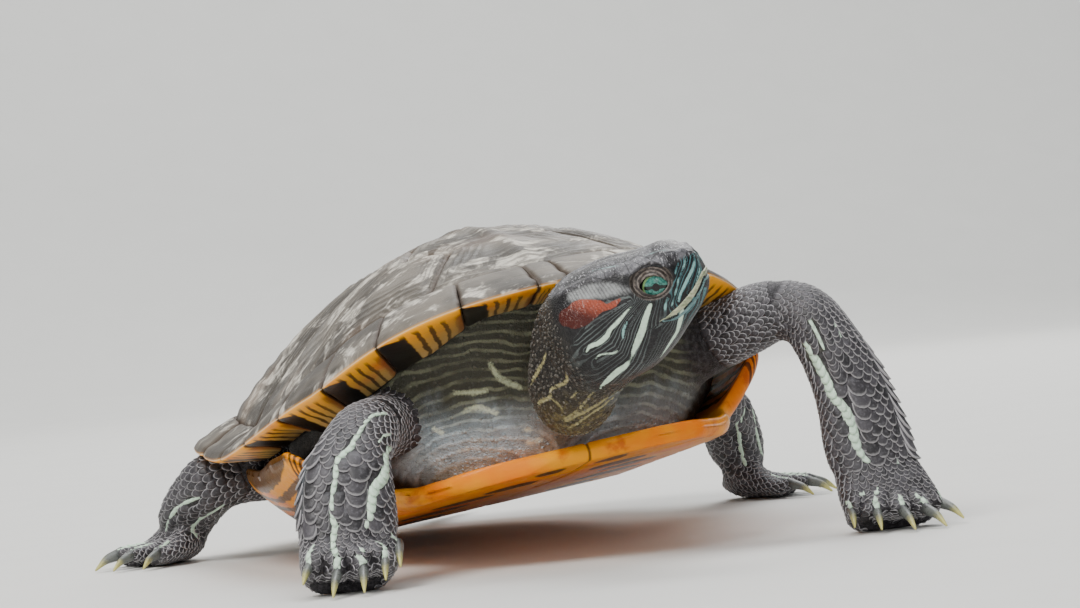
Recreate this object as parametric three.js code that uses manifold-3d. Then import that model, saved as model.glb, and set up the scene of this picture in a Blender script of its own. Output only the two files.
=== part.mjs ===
// A life-size red-eared slider turtle, standing with its head raised and turned to its left.
// Millimetres, +Z up. The turtle faces -Y, its left side is +X, and the floor is z = 0.

import * as THREE from 'three';
import Module from 'manifold-3d';
import { mergeVertices } from 'three/addons/utils/BufferGeometryUtils.js';

const wasm = await Module();
wasm.setup();

// ---- driving dimensions ----------------------------------------------------------------

const GAP = 0.3; // clear space between neighbouring pieces

// Stance of the shell: its own frame has X forward, Y to its left and Z up.
const SHELL_PITCH = 7.0; // degrees, front raised
const SHELL_ROLL = 7.0; // degrees, left side raised
const SHELL_LIFT = 12.2; // height of the middle of the plastron above the floor
const CENTRE_SHIFT = [0.2, -1.8, 0]; // puts the middle of the whole animal on the origin

// Carapace, 199 mm long and 148 mm wide.
const CREST_X = -9.0; // where the dome is highest
const CREST_Z = 71.0;
const DOME_POWER = 2.0; // 1 is a cone, larger is fuller
const WIDEST_X = -30.3;
const FRONT_REACH = 128.3; // from the widest place to the front edge
const REAR_REACH = 70.7;
const HALF_WIDTH = 75.0;
const EDGE_X = [-101, -60, 0, 60, 98];
const EDGE_Z = [27.4, 35.6, 27.3, 33.6, 44.4]; // height of the edge at those places
const RING = 0.84; // where the marginal plates meet the dome, as a share of the radius
const PLATE_T = 3.5; // thickness of the dome's plates
const TRUNK_CLEAR = 1.1; // space between those plates and the trunk
const SEAMS = [1.9, 14.7, 31.4, 44.4, 56.7, 68.6, 79.6, 89.3, 103.8, 122.0, 141.1, 160.5, 179.4];

// Midline seams of the dome from front to rear, and the half-widths of the middle row there.
const MID_SEAM_X = [50, 14, -24, -57];
const MID_SEAM_HALF = [13, 14, 13, 9];
const MID_POINT_X = [32, -5, -41]; // the side points of vertebral plates 2, 3 and 4
const MID_POINT_HALF = [21, 21, 19];
const FRONT_HALF = 20; // vertebral 1 at the ring
const REAR_CORNER_X = -76; // where vertebral 5 meets the ring
const COSTAL_RIM_X = [38, -8, -48]; // where the costal seams reach the ring

// Plastron.
const PLASTRON_T = 4.5;
const PLASTRON_X = [88, 84, 70, 46, 41, 20, 0, -20, -38, -44, -60, -75, -86, -90];
const PLASTRON_HALF = [14, 29, 42, 48, 63, 65, 65, 65, 63, 43, 38, 31, 21, 13];
const PLASTRON_Z = 0.2; // its underside, in the shell's frame
const RIM_DROP = 3.4; // extra depth of the rim's inner underside, away from the bridge
const BRIDGE_START = 38;
const BRIDGE_RISE = 17;

// Head: stations back from the tip of the beak, each [x, half-width, top, bottom].
const HEAD_STATIONS = [
  [0.6, 3.2, 6.2, -1.8],
  [-1.2, 5.2, 9.4, -3.8],
  [-4.2, 7.6, 11.6, -6.0],
  [-8.0, 9.5, 12.1, -8.1],
  [-13.0, 11.4, 12.8, -11.0],
  [-19.0, 13.3, 14.1, -13.3],
  [-26.0, 14.6, 14.5, -14.1],
  [-32.0, 14.2, 13.9, -13.8],
  [-36.5, 12.0, 11.2, -12.8],
  [-39.0, 8.5, 7.0, -10.8],
];
const HEAD_TIP = [23.0, -123.0, 65.7];
const HEAD_TURN = 59.9; // degrees to its left
const HEAD_PITCH = 20.0;
const HEAD_TILT = 13.8;
const MOUTH = [[3, -0.5], [-5.5, -2.1], [-11.6, -3.1], [-16, -14]]; // x, z of the cut
const EYE_AT = [-9.8, 6.0, 4.7];
const EYE_R = 4.2;

// Claws.
const CLAW_R = 1.5;
const CLAW_TIP_R = 0.35;

// ---- colours ---------------------------------------------------------------------------

const COLOURS = {
  carapace: [0x807a70, 0.75],
  marginal: [0x86724a, 0.6],
  plastron: [0xe8960f, 0.35],
  head: [0x45453f, 0.5],
  eye: [0x5fb3a0, 0.15],
  skin: [0x4c4b49, 0.65],
  chest: [0x8a8a85, 0.7],
};

function material(kind) {
  const [color, roughness] = COLOURS[kind];
  return new THREE.MeshStandardMaterial({ color, roughness, metalness: 0 });
}

const turtle = new THREE.Group();
turtle.name = 'turtle';

function addMesh(parent, name, geometry, kind) {
  const mesh = new THREE.Mesh(geometry, material(kind));
  mesh.name = name;
  parent.add(mesh);
  return mesh;
}

// ---- small helpers ---------------------------------------------------------------------

const clamp = THREE.MathUtils.clamp;
const rad = THREE.MathUtils.degToRad;
const lerp = THREE.MathUtils.lerp;

function catmull(x, xs, ys) {
  let i = 0;
  while (i < xs.length - 2 && x > xs[i + 1]) {
    i += 1;
  }
  const f = clamp((x - xs[i]) / (xs[i + 1] - xs[i]), 0, 1);
  const p0 = ys[Math.max(i - 1, 0)];
  const p1 = ys[i];
  const p2 = ys[i + 1];
  const p3 = ys[Math.min(i + 2, ys.length - 1)];
  return p1 + 0.5 * f * (p2 - p0 + f * (2 * p0 - 5 * p1 + 4 * p2 - p3 + f * (3 * (p1 - p2) + p3 - p0)));
}

function solidFrom(points, faces) {
  const geometry = new THREE.BufferGeometry();
  geometry.setAttribute('position', new THREE.Float32BufferAttribute(points.flat(), 3));
  geometry.setIndex(faces.flat());
  geometry.computeVertexNormals();
  return geometry;
}

function flipped(geometry) {
  const index = Array.from(geometry.index.array);
  for (let i = 0; i < index.length; i += 3) {
    const keep = index[i];
    index[i] = index[i + 1];
    index[i + 1] = keep;
  }
  geometry.setIndex(index);
  return geometry;
}

function volume(geometry) {
  const p = geometry.attributes.position;
  const index = geometry.index.array;
  const a = new THREE.Vector3();
  const b = new THREE.Vector3();
  const c = new THREE.Vector3();
  let sum = 0;
  for (let i = 0; i < index.length; i += 3) {
    a.fromBufferAttribute(p, index[i]);
    b.fromBufferAttribute(p, index[i + 1]);
    c.fromBufferAttribute(p, index[i + 2]);
    sum += a.dot(b.cross(c)) / 6;
  }
  return sum;
}

function facingOut(geometry) {
  return volume(geometry) < 0 ? flipped(geometry) : geometry;
}

function toSolid(geometry, matrix = null) {
  const plain = geometry.clone();
  plain.deleteAttribute('normal');
  plain.deleteAttribute('uv');
  if (matrix) {
    plain.applyMatrix4(matrix);
  }
  const welded = mergeVertices(plain, 1e-4);
  const mesh = new wasm.Mesh({
    numProp: 3,
    vertProperties: new Float32Array(welded.attributes.position.array),
    triVerts: new Uint32Array(welded.index.array),
  });
  return new wasm.Manifold(mesh);
}

function fromSolid(solid) {
  const mesh = solid.getMesh();
  const geometry = new THREE.BufferGeometry();
  geometry.setAttribute('position', new THREE.BufferAttribute(new Float32Array(mesh.vertProperties), 3));
  geometry.setIndex(new THREE.BufferAttribute(new Uint32Array(mesh.triVerts), 1));
  geometry.computeVertexNormals();
  return geometry;
}

function biggest(solid) {
  const pieces = solid.decompose();
  pieces.sort((a, b) => b.volume() - a.volume());
  return pieces[0];
}

// ---- the shell's own surface -----------------------------------------------------------

function edgePoint(phi) {
  const c = Math.cos(phi);
  const s = Math.sin(phi);
  const front = c >= 0;
  const x = front
    ? WIDEST_X + FRONT_REACH * Math.pow(c, 2 / 2.17)
    : WIDEST_X - REAR_REACH * Math.pow(-c, 2 / 2.4);
  const y = HALF_WIDTH * Math.sign(s) * Math.pow(Math.abs(s), 2 / (front ? 2.3 : 2.1));
  return [x, y];
}

function edgeHeight(x) {
  return catmull(x, EDGE_X, EDGE_Z);
}

function shelf(x) {
  // Share of the dome's height that the marginal ring climbs.
  return 0.14 + 0.12 * clamp((x - 10) / 60, 0, 1);
}

function shellPoint(rho, phi) {
  const [ex, ey] = edgePoint(phi);
  const low = edgeHeight(ex);
  const share = shelf(ex);
  const rise = rho < RING
    ? (1 - share) * (1 - Math.pow(rho / RING, DOME_POWER)) + share
    : share * (1 - Math.pow((rho - RING) / (1 - RING), 1.4));
  return [CREST_X + (ex - CREST_X) * rho, ey * rho, low + (CREST_Z - low) * rise];
}

function edgeReach(phi) {
  const [ex, ey] = edgePoint(phi);
  return Math.hypot(ex - CREST_X, ey);
}

function phiAt(x, y) {
  // The edge parameter whose direction from the crest passes through (x, y).
  const aim = Math.atan2(Math.abs(y), x - CREST_X);
  let low = 0;
  let high = Math.PI;
  for (let i = 0; i < 40; i += 1) {
    const mid = (low + high) / 2;
    const [ex, ey] = edgePoint(mid);
    if (Math.atan2(ey, ex - CREST_X) < aim) {
      low = mid;
    } else {
      high = mid;
    }
  }
  return y < 0 ? -low : low;
}

function domeHeight(x, y) {
  const phi = phiAt(x, y);
  const rho = Math.hypot(x - CREST_X, y) / edgeReach(phi);
  return shellPoint(rho, phi)[2];
}

function ringPoint(phi, inset) {
  const [ex, ey] = edgePoint(phi);
  const reach = edgeReach(phi);
  const k = (RING * reach - inset) / reach;
  return [CREST_X + (ex - CREST_X) * k, ey * k];
}

function ringPhiAtX(x) {
  let low = 0;
  let high = Math.PI;
  for (let i = 0; i < 40; i += 1) {
    const mid = (low + high) / 2;
    if (ringPoint(mid, 0)[0] > x) {
      low = mid;
    } else {
      high = mid;
    }
  }
  return low;
}

// ---- plates of the dome ----------------------------------------------------------------

function alongLine(points, t) {
  // Each stretch of the line takes an equal share of t, so its corners are kept.
  const spot = t * (points.length - 1);
  const i = Math.min(Math.floor(spot), points.length - 2);
  const f = spot - i;
  return [lerp(points[i][0], points[i + 1][0], f), lerp(points[i][1], points[i + 1][1], f)];
}

function ringArc(from, to, steps) {
  const points = [];
  for (let i = 0; i <= steps; i += 1) {
    points.push(ringPoint(lerp(from, to, i / steps), 0));
  }
  return points;
}

function domePlate(sideA, sideB, nu, nv) {
  // A plate between two lines in plan, pulled in by half the gap all round.
  const grid = [];
  for (let j = 0; j <= nv; j += 1) {
    const row = [];
    for (let i = 0; i <= nu; i += 1) {
      const a = alongLine(sideA, i / nu);
      const b = alongLine(sideB, i / nu);
      row.push([lerp(a[0], b[0], j / nv), lerp(a[1], b[1], j / nv)]);
    }
    grid.push(row);
  }
  const rim = [];
  for (let i = 0; i < nu; i += 1) {
    rim.push([0, i]);
  }
  for (let j = 0; j < nv; j += 1) {
    rim.push([j, nu]);
  }
  for (let i = nu; i > 0; i -= 1) {
    rim.push([nv, i]);
  }
  for (let j = nv; j > 0; j -= 1) {
    rim.push([j, 0]);
  }
  const before = rim.map(([j, i]) => grid[j][i].slice());
  let area = 0;
  before.forEach((p, k) => {
    const q = before[(k + 1) % before.length];
    area += p[0] * q[1] - p[1] * q[0];
  });
  const inward = Math.sign(area) * (GAP / 2);
  rim.forEach(([j, i], k) => {
    const last = before[(k + before.length - 1) % before.length];
    const here = before[k];
    const next = before[(k + 1) % before.length];
    const n1 = [-(here[1] - last[1]), here[0] - last[0]];
    const n2 = [-(next[1] - here[1]), next[0] - here[0]];
    const l1 = Math.hypot(...n1);
    const l2 = Math.hypot(...n2);
    const m = [n1[0] / l1 + n2[0] / l2, n1[1] / l1 + n2[1] / l2];
    const size = Math.max(Math.hypot(...m), 0.8);
    const reach = (2 * inward) / (size * size);
    grid[j][i] = [here[0] + m[0] * reach, here[1] + m[1] * reach];
  });
  const points = [];
  const put = (depth) => grid.forEach((row) => row.forEach(([x, y]) => {
    points.push([x, y, domeHeight(x, y) - depth]);
  }));
  put(0);
  put(PLATE_T);
  const w = nu + 1;
  const half = w * (nv + 1);
  const faces = [];
  for (let j = 0; j < nv; j += 1) {
    for (let i = 0; i < nu; i += 1) {
      const a = j * w + i;
      faces.push([a, a + 1, a + w + 1], [a, a + w + 1, a + w]);
      faces.push([half + a, half + a + w + 1, half + a + 1], [half + a, half + a + w, half + a + w + 1]);
    }
  }
  rim.forEach(([j, i], k) => {
    const [jn, inn] = rim[(k + 1) % rim.length];
    const a = j * w + i;
    const b = jn * w + inn;
    faces.push([a, half + a, half + b], [a, half + b, b]);
  });
  return facingOut(solidFrom(points, faces));
}

function mirrored(points) {
  return points.map(([x, y]) => [x, -y]);
}

// ---- marginal plates -------------------------------------------------------------------

// How much lower the inner underside of the rim lies, ahead of the bridge and behind it.
function rimDrop(phi) {
  const x = edgePoint(phi)[0];
  const clear = clamp((Math.abs(x) - 38) / 10, 0, 1);
  const beside = clamp((Math.abs(Math.atan2(Math.sin(phi), Math.cos(phi))) - 0.2) / 0.2, 0, 1);
  return RIM_DROP * clear * beside;
}

function marginalSection(phi, grow) {
  // Closed section from the inner top edge, round the outer edge, to the inner underside.
  const reach = edgeReach(phi);
  const at = (rho, drop) => {
    const [x, y, z] = shellPoint(Math.min(rho, 1), phi);
    const over = Math.max(rho, 1);
    return [CREST_X + (x - CREST_X) * over, y * over, z - drop];
  };
  const low = edgeHeight(edgePoint(phi)[0]);
  const inner = RING + (GAP / 2 - grow) / reach;
  const under = (rho, drop) => {
    const [x, y] = shellPoint(rho, phi);
    return [x, y, low - drop];
  };
  const g = grow;
  const deep = rimDrop(phi);
  return [
    at(inner, -g),
    at(0.92, -g),
    at(0.985, -0.5 - g),
    at(1 + g / reach, 0.6),
    under(0.985, 1.4 + 0.1 * deep + g),
    under(0.92, 2.4 + 0.55 * deep + g),
    under(inner, 3.2 + deep + g),
  ];
}

function marginalPlate(from, to, steps) {
  const points = [];
  const faces = [];
  const n = 7;
  for (let k = 0; k <= steps; k += 1) {
    const phi = lerp(from, to, k / steps);
    points.push(...marginalSection(phi, 0));
    if (k < steps) {
      for (let i = 0; i < n; i += 1) {
        const a = k * n + i;
        const b = k * n + ((i + 1) % n);
        faces.push([a, b, b + n], [a, b + n, a + n]);
      }
    }
  }
  for (let i = 1; i < n - 1; i += 1) {
    faces.push([0, i + 1, i]);
    faces.push([steps * n, steps * n + i, steps * n + i + 1]);
  }
  return facingOut(solidFrom(points, faces));
}

function marginalRing(grow) {
  const n = 7;
  const steps = 96;
  const points = [];
  const faces = [];
  for (let k = 0; k < steps; k += 1) {
    points.push(...marginalSection((2 * Math.PI * k) / steps - Math.PI, grow));
    for (let i = 0; i < n; i += 1) {
      const a = k * n + i;
      const b = k * n + ((i + 1) % n);
      const c = ((k + 1) % steps) * n + ((i + 1) % n);
      const d = ((k + 1) % steps) * n + i;
      faces.push([a, b, c], [a, c, d]);
    }
  }
  return facingOut(solidFrom(points, faces));
}

// ---- plastron --------------------------------------------------------------------------

function plastronHeight(x, y) {
  const front = 1.2 * Math.pow(clamp((x - 50) / 38, 0, 1), 2);
  const rear = 5 * Math.pow(clamp((-38 - x) / 52, 0, 1), 1.4);
  // The bridge follows the rim's height, lowest at the middle of the shell.
  const rise = BRIDGE_RISE + Math.max(edgeHeight(x) - edgeHeight(0), 0);
  const side = rise * Math.pow(clamp((Math.abs(y) - BRIDGE_START) / 27, 0, 1.1), 1.6);
  return PLASTRON_Z + front + rear + side;
}

function plastronSolid(grow) {
  const across = 8;
  const points = [];
  const w = across + 1;
  const put = (drop) => PLASTRON_X.forEach((x, k) => {
    const end = k === 0 ? grow : k === PLASTRON_X.length - 1 ? -grow : 0;
    for (let i = 0; i <= across; i += 1) {
      const y = (PLASTRON_HALF[k] + grow) * lerp(-1, 1, i / across);
      const slope = 1 + 0.35 * clamp((Math.abs(y) - BRIDGE_START) / 27, 0, 1);
      const t = drop > 0 ? PLASTRON_T * slope + grow : -grow;
      points.push([x + end, y, plastronHeight(x, y) + t]);
    }
  });
  put(1);
  put(0);
  const rows = PLASTRON_X.length;
  const half = w * rows;
  const faces = [];
  for (let k = 0; k < rows - 1; k += 1) {
    for (let i = 0; i < across; i += 1) {
      const a = k * w + i;
      faces.push([a, a + 1, a + w + 1], [a, a + w + 1, a + w]);
      faces.push([half + a, half + a + w + 1, half + a + 1], [half + a, half + a + w, half + a + w + 1]);
    }
    const l = k * w;
    const r = k * w + across;
    faces.push([l, l + w, half + l + w], [l, half + l + w, half + l]);
    faces.push([r, half + r + w, r + w], [r, half + r, half + r + w]);
  }
  for (let i = 0; i < across; i += 1) {
    const b = (rows - 1) * w + i;
    faces.push([i, half + i, half + i + 1], [i, half + i + 1, i + 1]);
    faces.push([b, b + 1, half + b + 1], [b, half + b + 1, half + b]);
  }
  return facingOut(solidFrom(points, faces));
}

// ---- trunk inside the shell ------------------------------------------------------------

function trunkSolid(grow) {
  const around = 22;
  const shares = [0.8, 0.62, 0.36];
  const points = [];
  const faces = [];
  const side = 0.82;
  const floorZ = PLASTRON_Z + PLASTRON_T + GAP - grow;
  const layers = [];
  layers.push((phi) => {
    const [x, y] = shellPoint(0.52 + 0.2 * Math.cos(phi) ** 2, phi);
    return [x, y, floorZ];
  });
  layers.push((phi) => {
    const [x, y] = shellPoint(0.66 + 0.13 * Math.cos(phi) ** 2, phi);
    return [x, y, floorZ + 4];
  });
  layers.push((phi) => {
    const [x, y] = shellPoint(side + grow / 90, phi);
    return [x, y, edgeHeight(edgePoint(phi)[0]) - 8];
  });
  layers.push((phi) => {
    const [x, y, z] = shellPoint(side + grow / 90, phi);
    return [x, y, z - PLATE_T - TRUNK_CLEAR + grow];
  });
  shares.forEach((rho) => layers.push((phi) => {
    const [x, y, z] = shellPoint(rho, phi);
    return [x, y, z - PLATE_T - TRUNK_CLEAR + grow];
  }));
  layers.forEach((layer) => {
    for (let i = 0; i < around; i += 1) {
      points.push(layer((2 * Math.PI * i) / around));
    }
  });
  for (let l = 0; l < layers.length - 1; l += 1) {
    for (let i = 0; i < around; i += 1) {
      const a = l * around + i;
      const b = l * around + ((i + 1) % around);
      faces.push([a, b, b + around], [a, b + around, a + around]);
    }
  }
  const bottom = points.length;
  points.push([CREST_X, 0, floorZ]);
  const top = points.length;
  points.push([CREST_X, 0, CREST_Z - PLATE_T - TRUNK_CLEAR + grow]);
  const last = (layers.length - 1) * around;
  for (let i = 0; i < around; i += 1) {
    const j = (i + 1) % around;
    faces.push([bottom, j, i], [top, last + i, last + j]);
  }
  return facingOut(solidFrom(points, faces));
}

// ---- lofts for the flesh ---------------------------------------------------------------

function loft(stations, segments, grow = 0, power = 2.2, sole = null) {
  // stations: [x, y, z, half-width, half-depth, sideways direction]
  const centres = stations.map((s) => new THREE.Vector3(s[0], s[1], s[2]));
  const points = [];
  const faces = [];
  const n = segments;
  stations.forEach((s, k) => {
    const back = centres[Math.max(k - 1, 0)];
    const ahead = centres[Math.min(k + 1, centres.length - 1)];
    const tangent = ahead.clone().sub(back).normalize();
    const side = new THREE.Vector3(...(s[5] ?? [1, 0, 0]));
    side.addScaledVector(tangent, -side.dot(tangent)).normalize();
    const over = new THREE.Vector3().crossVectors(side, tangent);
    const centre = centres[k].clone();
    if (k === 0) {
      centre.addScaledVector(tangent, -grow);
    }
    if (k === stations.length - 1) {
      centre.addScaledVector(tangent, grow);
    }
    for (let i = 0; i < n; i += 1) {
      const t = (2 * Math.PI * i) / n;
      const c = Math.cos(t);
      const d = Math.sin(t);
      const p = centre.clone();
      p.addScaledVector(side, (s[3] + grow) * Math.sign(c) * Math.pow(Math.abs(c), 2 / power));
      p.addScaledVector(over, (s[4] + grow) * Math.sign(d) * Math.pow(Math.abs(d), 2 / power));
      if (sole !== null) {
        p.z = Math.max(p.z, sole);
      }
      points.push([p.x, p.y, p.z]);
    }
    if (k > 0) {
      for (let i = 0; i < n; i += 1) {
        const a = (k - 1) * n + i;
        const b = (k - 1) * n + ((i + 1) % n);
        faces.push([a, b, b + n], [a, b + n, a + n]);
      }
    }
  });
  const average = (start) => {
    const sum = [0, 0, 0];
    for (let i = 0; i < n; i += 1) {
      points[start + i].forEach((v, axis) => {
        sum[axis] += v / n;
      });
    }
    return sum;
  };
  const lastRow = (stations.length - 1) * n;
  const first = points.length;
  points.push(average(0));
  points.push(average(lastRow));
  for (let i = 0; i < n; i += 1) {
    const j = (i + 1) % n;
    faces.push([first, j, i], [first + 1, lastRow + i, lastRow + j]);
  }
  return facingOut(solidFrom(points, faces));
}

function cut(solid, ...others) {
  let left = solid;
  others.forEach((other) => {
    left = left.subtract(other);
  });
  return biggest(left);
}

// ---- build the shell -------------------------------------------------------------------

const shell = new THREE.Group();
shell.name = 'shell';
shell.position.set(CENTRE_SHIFT[0], CENTRE_SHIFT[1], SHELL_LIFT);
shell.rotation.set(rad(SHELL_ROLL), -rad(SHELL_PITCH), -Math.PI / 2, 'ZYX');
turtle.add(shell);

const flesh = new THREE.Group();
flesh.name = 'flesh';
flesh.position.set(...CENTRE_SHIFT);
turtle.add(flesh);

const frontPhi = Math.asin(FRONT_HALF / 74);
const ringFront = ringPhiAtX(ringPoint(frontPhi * 1.32, 0)[0]);
const ringRear = ringPhiAtX(REAR_CORNER_X);
const ringCuts = [ringFront, ...COSTAL_RIM_X.map(ringPhiAtX), ringRear];
const frontCorner = ringPoint(ringFront, 0);
const rearCorner = ringPoint(ringRear, 0);

const midSide = [
  [frontCorner, [MID_SEAM_X[0], MID_SEAM_HALF[0]]],
  [[MID_SEAM_X[0], MID_SEAM_HALF[0]], [MID_POINT_X[0], MID_POINT_HALF[0]], [MID_SEAM_X[1], MID_SEAM_HALF[1]]],
  [[MID_SEAM_X[1], MID_SEAM_HALF[1]], [MID_POINT_X[1], MID_POINT_HALF[1]], [MID_SEAM_X[2], MID_SEAM_HALF[2]]],
  [[MID_SEAM_X[2], MID_SEAM_HALF[2]], [MID_POINT_X[2], MID_POINT_HALF[2]], [MID_SEAM_X[3], MID_SEAM_HALF[3]]],
  [[MID_SEAM_X[3], MID_SEAM_HALF[3]], rearCorner],
];

function vertebral(k) {
  const left = midSide[k];
  const right = mirrored(left);
  if (k === 0) {
    // The front edge follows the ring, so the plate is laid out from front to back.
    const front = ringArc(-ringFront, ringFront, 6);
    const back = [right[right.length - 1], left[left.length - 1]];
    return domePlate(front, back, 6, 3);
  }
  if (k === 4) {
    const rear = [];
    for (let i = 0; i <= 6; i += 1) {
      rear.push(ringPoint(lerp(-ringRear, -2 * Math.PI + ringRear, i / 6), 0));
    }
    const front = [right[0], left[0]];
    return domePlate(front, rear, 6, 3);
  }
  return domePlate(right, left, 4, 6);
}

for (let k = 0; k < 5; k += 1) {
  addMesh(shell, `vertebral_${k + 1}`, vertebral(k), 'carapace');
}

const costalInner = [
  [...midSide[0], [MID_POINT_X[0], MID_POINT_HALF[0]]],
  midSide[1].slice(1).concat([[MID_POINT_X[1], MID_POINT_HALF[1]]]),
  midSide[2].slice(1).concat([[MID_POINT_X[2], MID_POINT_HALF[2]]]),
  midSide[3].slice(1).concat([rearCorner]),
];

function costal(k, side) {
  // The first and last plates come to a point where the middle row meets the ring.
  const inner = costalInner[k].slice();
  let from = ringCuts[k];
  let to = ringCuts[k + 1];
  if (k === 0) {
    inner.shift();
    inner.unshift([lerp(frontCorner[0], MID_SEAM_X[0], 0.12), lerp(frontCorner[1], MID_SEAM_HALF[0], 0.12)]);
    from += 0.02;
  }
  if (k === 3) {
    inner.pop();
    inner.push([lerp(rearCorner[0], MID_SEAM_X[3], 0.15), lerp(rearCorner[1], MID_SEAM_HALF[3], 0.15)]);
    to -= 0.03;
  }
  const outer = ringArc(from, to, 6);
  return side > 0 ? domePlate(inner, outer, 6, 4) : domePlate(mirrored(inner), mirrored(outer), 6, 4);
}

for (let k = 0; k < 4; k += 1) {
  addMesh(shell, `costal_left_${k + 1}`, costal(k, 1), 'carapace');
  addMesh(shell, `costal_right_${k + 1}`, costal(k, -1), 'carapace');
}

function inset(phi, sign) {
  return rad(phi) + (sign * GAP) / 2 / edgeReach(rad(phi));
}

addMesh(shell, 'nuchal', marginalPlate(-inset(SEAMS[0], -1), inset(SEAMS[0], -1), 2), 'marginal');
for (let k = 0; k < 12; k += 1) {
  const from = inset(SEAMS[k], 1);
  const to = k === 11 ? Math.PI - GAP / 2 / 96 : inset(SEAMS[k + 1], -1);
  addMesh(shell, `marginal_left_${k + 1}`, marginalPlate(from, to, 3), 'marginal');
  addMesh(shell, `marginal_right_${k + 1}`, marginalPlate(-to, -from, 3), 'marginal');
}

const plastron = plastronSolid(0);
const ringGrown = toSolid(marginalRing(GAP));
addMesh(shell, 'plastron', fromSolid(cut(toSolid(plastron), ringGrown)), 'plastron');

// ---- build the flesh -------------------------------------------------------------------

shell.updateMatrix();
flesh.updateMatrix();
const toFlesh = flesh.matrix.clone().invert().multiply(shell.matrix);

const ringKeep = toSolid(marginalRing(GAP), toFlesh);
const plastronKeep = toSolid(plastronSolid(GAP), toFlesh);
const trunkKeep = toSolid(trunkSolid(GAP), toFlesh);
const trunk = cut(toSolid(trunkSolid(0), toFlesh), plastronKeep);

// Head, with the jaw parted along the mouth line and sockets for the eyes.
const headPlace = new THREE.Group();
headPlace.position.set(...HEAD_TIP);
headPlace.rotation.set(rad(HEAD_TILT), -rad(HEAD_PITCH), rad(HEAD_TURN - 90), 'ZYX');
headPlace.updateMatrix();
const headMatrix = headPlace.matrix;

function headSolid(grow) {
  const stations = HEAD_STATIONS.map(([x, half, top, bottom]) => [
    x, 0, (top + bottom) / 2, half, (top - bottom) / 2, [0, 1, 0],
  ]);
  return toSolid(loft(stations, 16, grow, 2.6), headMatrix);
}

function slab(points, thickness, half) {
  // A thin wall that follows a line in the head's own X-Z plane and runs right across it.
  const offset = (side) => points.map(([x, z], i) => {
    const back = points[Math.max(i - 1, 0)];
    const ahead = points[Math.min(i + 1, points.length - 1)];
    const length = Math.hypot(ahead[0] - back[0], ahead[1] - back[1]);
    const nx = -(ahead[1] - back[1]) / length;
    const nz = (ahead[0] - back[0]) / length;
    return new THREE.Vector2(x + (side * nx * thickness) / 2, z + (side * nz * thickness) / 2);
  });
  const shape = new THREE.Shape([...offset(1), ...offset(-1).reverse()]);
  const geometry = new THREE.ExtrudeGeometry(shape, { depth: 2 * half, bevelEnabled: false });
  geometry.rotateX(Math.PI / 2);
  geometry.translate(0, half, 0);
  return geometry;
}

function eyeSolid(side, grow) {
  const ball = new THREE.SphereGeometry(EYE_R + grow, 12, 8);
  ball.translate(EYE_AT[0], side * EYE_AT[1], EYE_AT[2]);
  return toSolid(ball, headMatrix);
}

const mouthCut = toSolid(slab(MOUTH, GAP, 30), headMatrix);
const skull = headSolid(0).subtract(eyeSolid(1, GAP)).subtract(eyeSolid(-1, GAP)).subtract(mouthCut);
const skullPieces = skull.decompose();
skullPieces.sort((a, b) => b.volume() - a.volume());
addMesh(flesh, 'head', fromSolid(skullPieces[0]), 'head');
addMesh(flesh, 'lower_jaw', fromSolid(skullPieces[1]), 'head');
addMesh(flesh, 'eye_left', fromSolid(eyeSolid(1, 0)), 'eye');
addMesh(flesh, 'eye_right', fromSolid(eyeSolid(-1, 0)), 'eye');

// Neck, from inside the collar of the shell to the back of the head.
const NECK = [
  [-4, -70, 44, 12, 13],
  [-4, -82, 43.5, 11, 13.2],
  [-4, -93, 43.5, 10.6, 13],
  [-4, -102, 46.5, 10.6, 12, [1, 0.25, 0]],
  [0, -108, 52, 10, 10.5, [1, 0.6, 0]],
];
const neck = cut(toSolid(loft(NECK, 14)), trunkKeep, ringKeep, plastronKeep, headSolid(GAP));
addMesh(flesh, 'neck', fromSolid(neck), 'skin');
addMesh(flesh, 'trunk', fromSolid(trunk), 'chest');

// Tail.
const TAIL = [
  [-3, 84, 24, 9, 8],
  [-3, 96, 19, 7, 6.5],
  [-1, 106, 14, 5, 4.6],
  [3, 116, 9.5, 3.2, 3],
  [9, 125, 6, 1.9, 1.8],
  [15, 131, 4, 0.8, 0.8],
];
const tail = cut(toSolid(loft(TAIL, 10)), trunkKeep, ringKeep, plastronKeep);
addMesh(flesh, 'tail', fromSolid(tail), 'skin');

// ---- legs ------------------------------------------------------------------------------

function claw(base, tip) {
  const mid = [
    lerp(base[0], tip[0], 0.55),
    lerp(base[1], tip[1], 0.55),
    lerp(base[2], tip[2], 0.55) + 0.7,
  ];
  return loft([
    [...base, CLAW_R, CLAW_R],
    [...mid, CLAW_R * 0.72, CLAW_R * 0.72],
    [...tip, CLAW_TIP_R, CLAW_TIP_R],
  ], 5, 0, 2, 0.02);
}

function foot(palm, toes) {
  // The palm, and one toe with its claw for each entry [root, claw base, claw tip, half-width].
  let solid = toSolid(loft(palm, 10, 0, 2.4, 0));
  toes.forEach(([root, base, tip, half]) => {
    const toe = loft([
      [...root, half * 1.15, half * 1.05],
      [...base, half * 0.8, half * 0.8],
    ], 6, 0, 2.2, 0);
    solid = solid.add(toSolid(toe)).add(toSolid(claw(base, tip)));
  });
  return solid;
}

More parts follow.
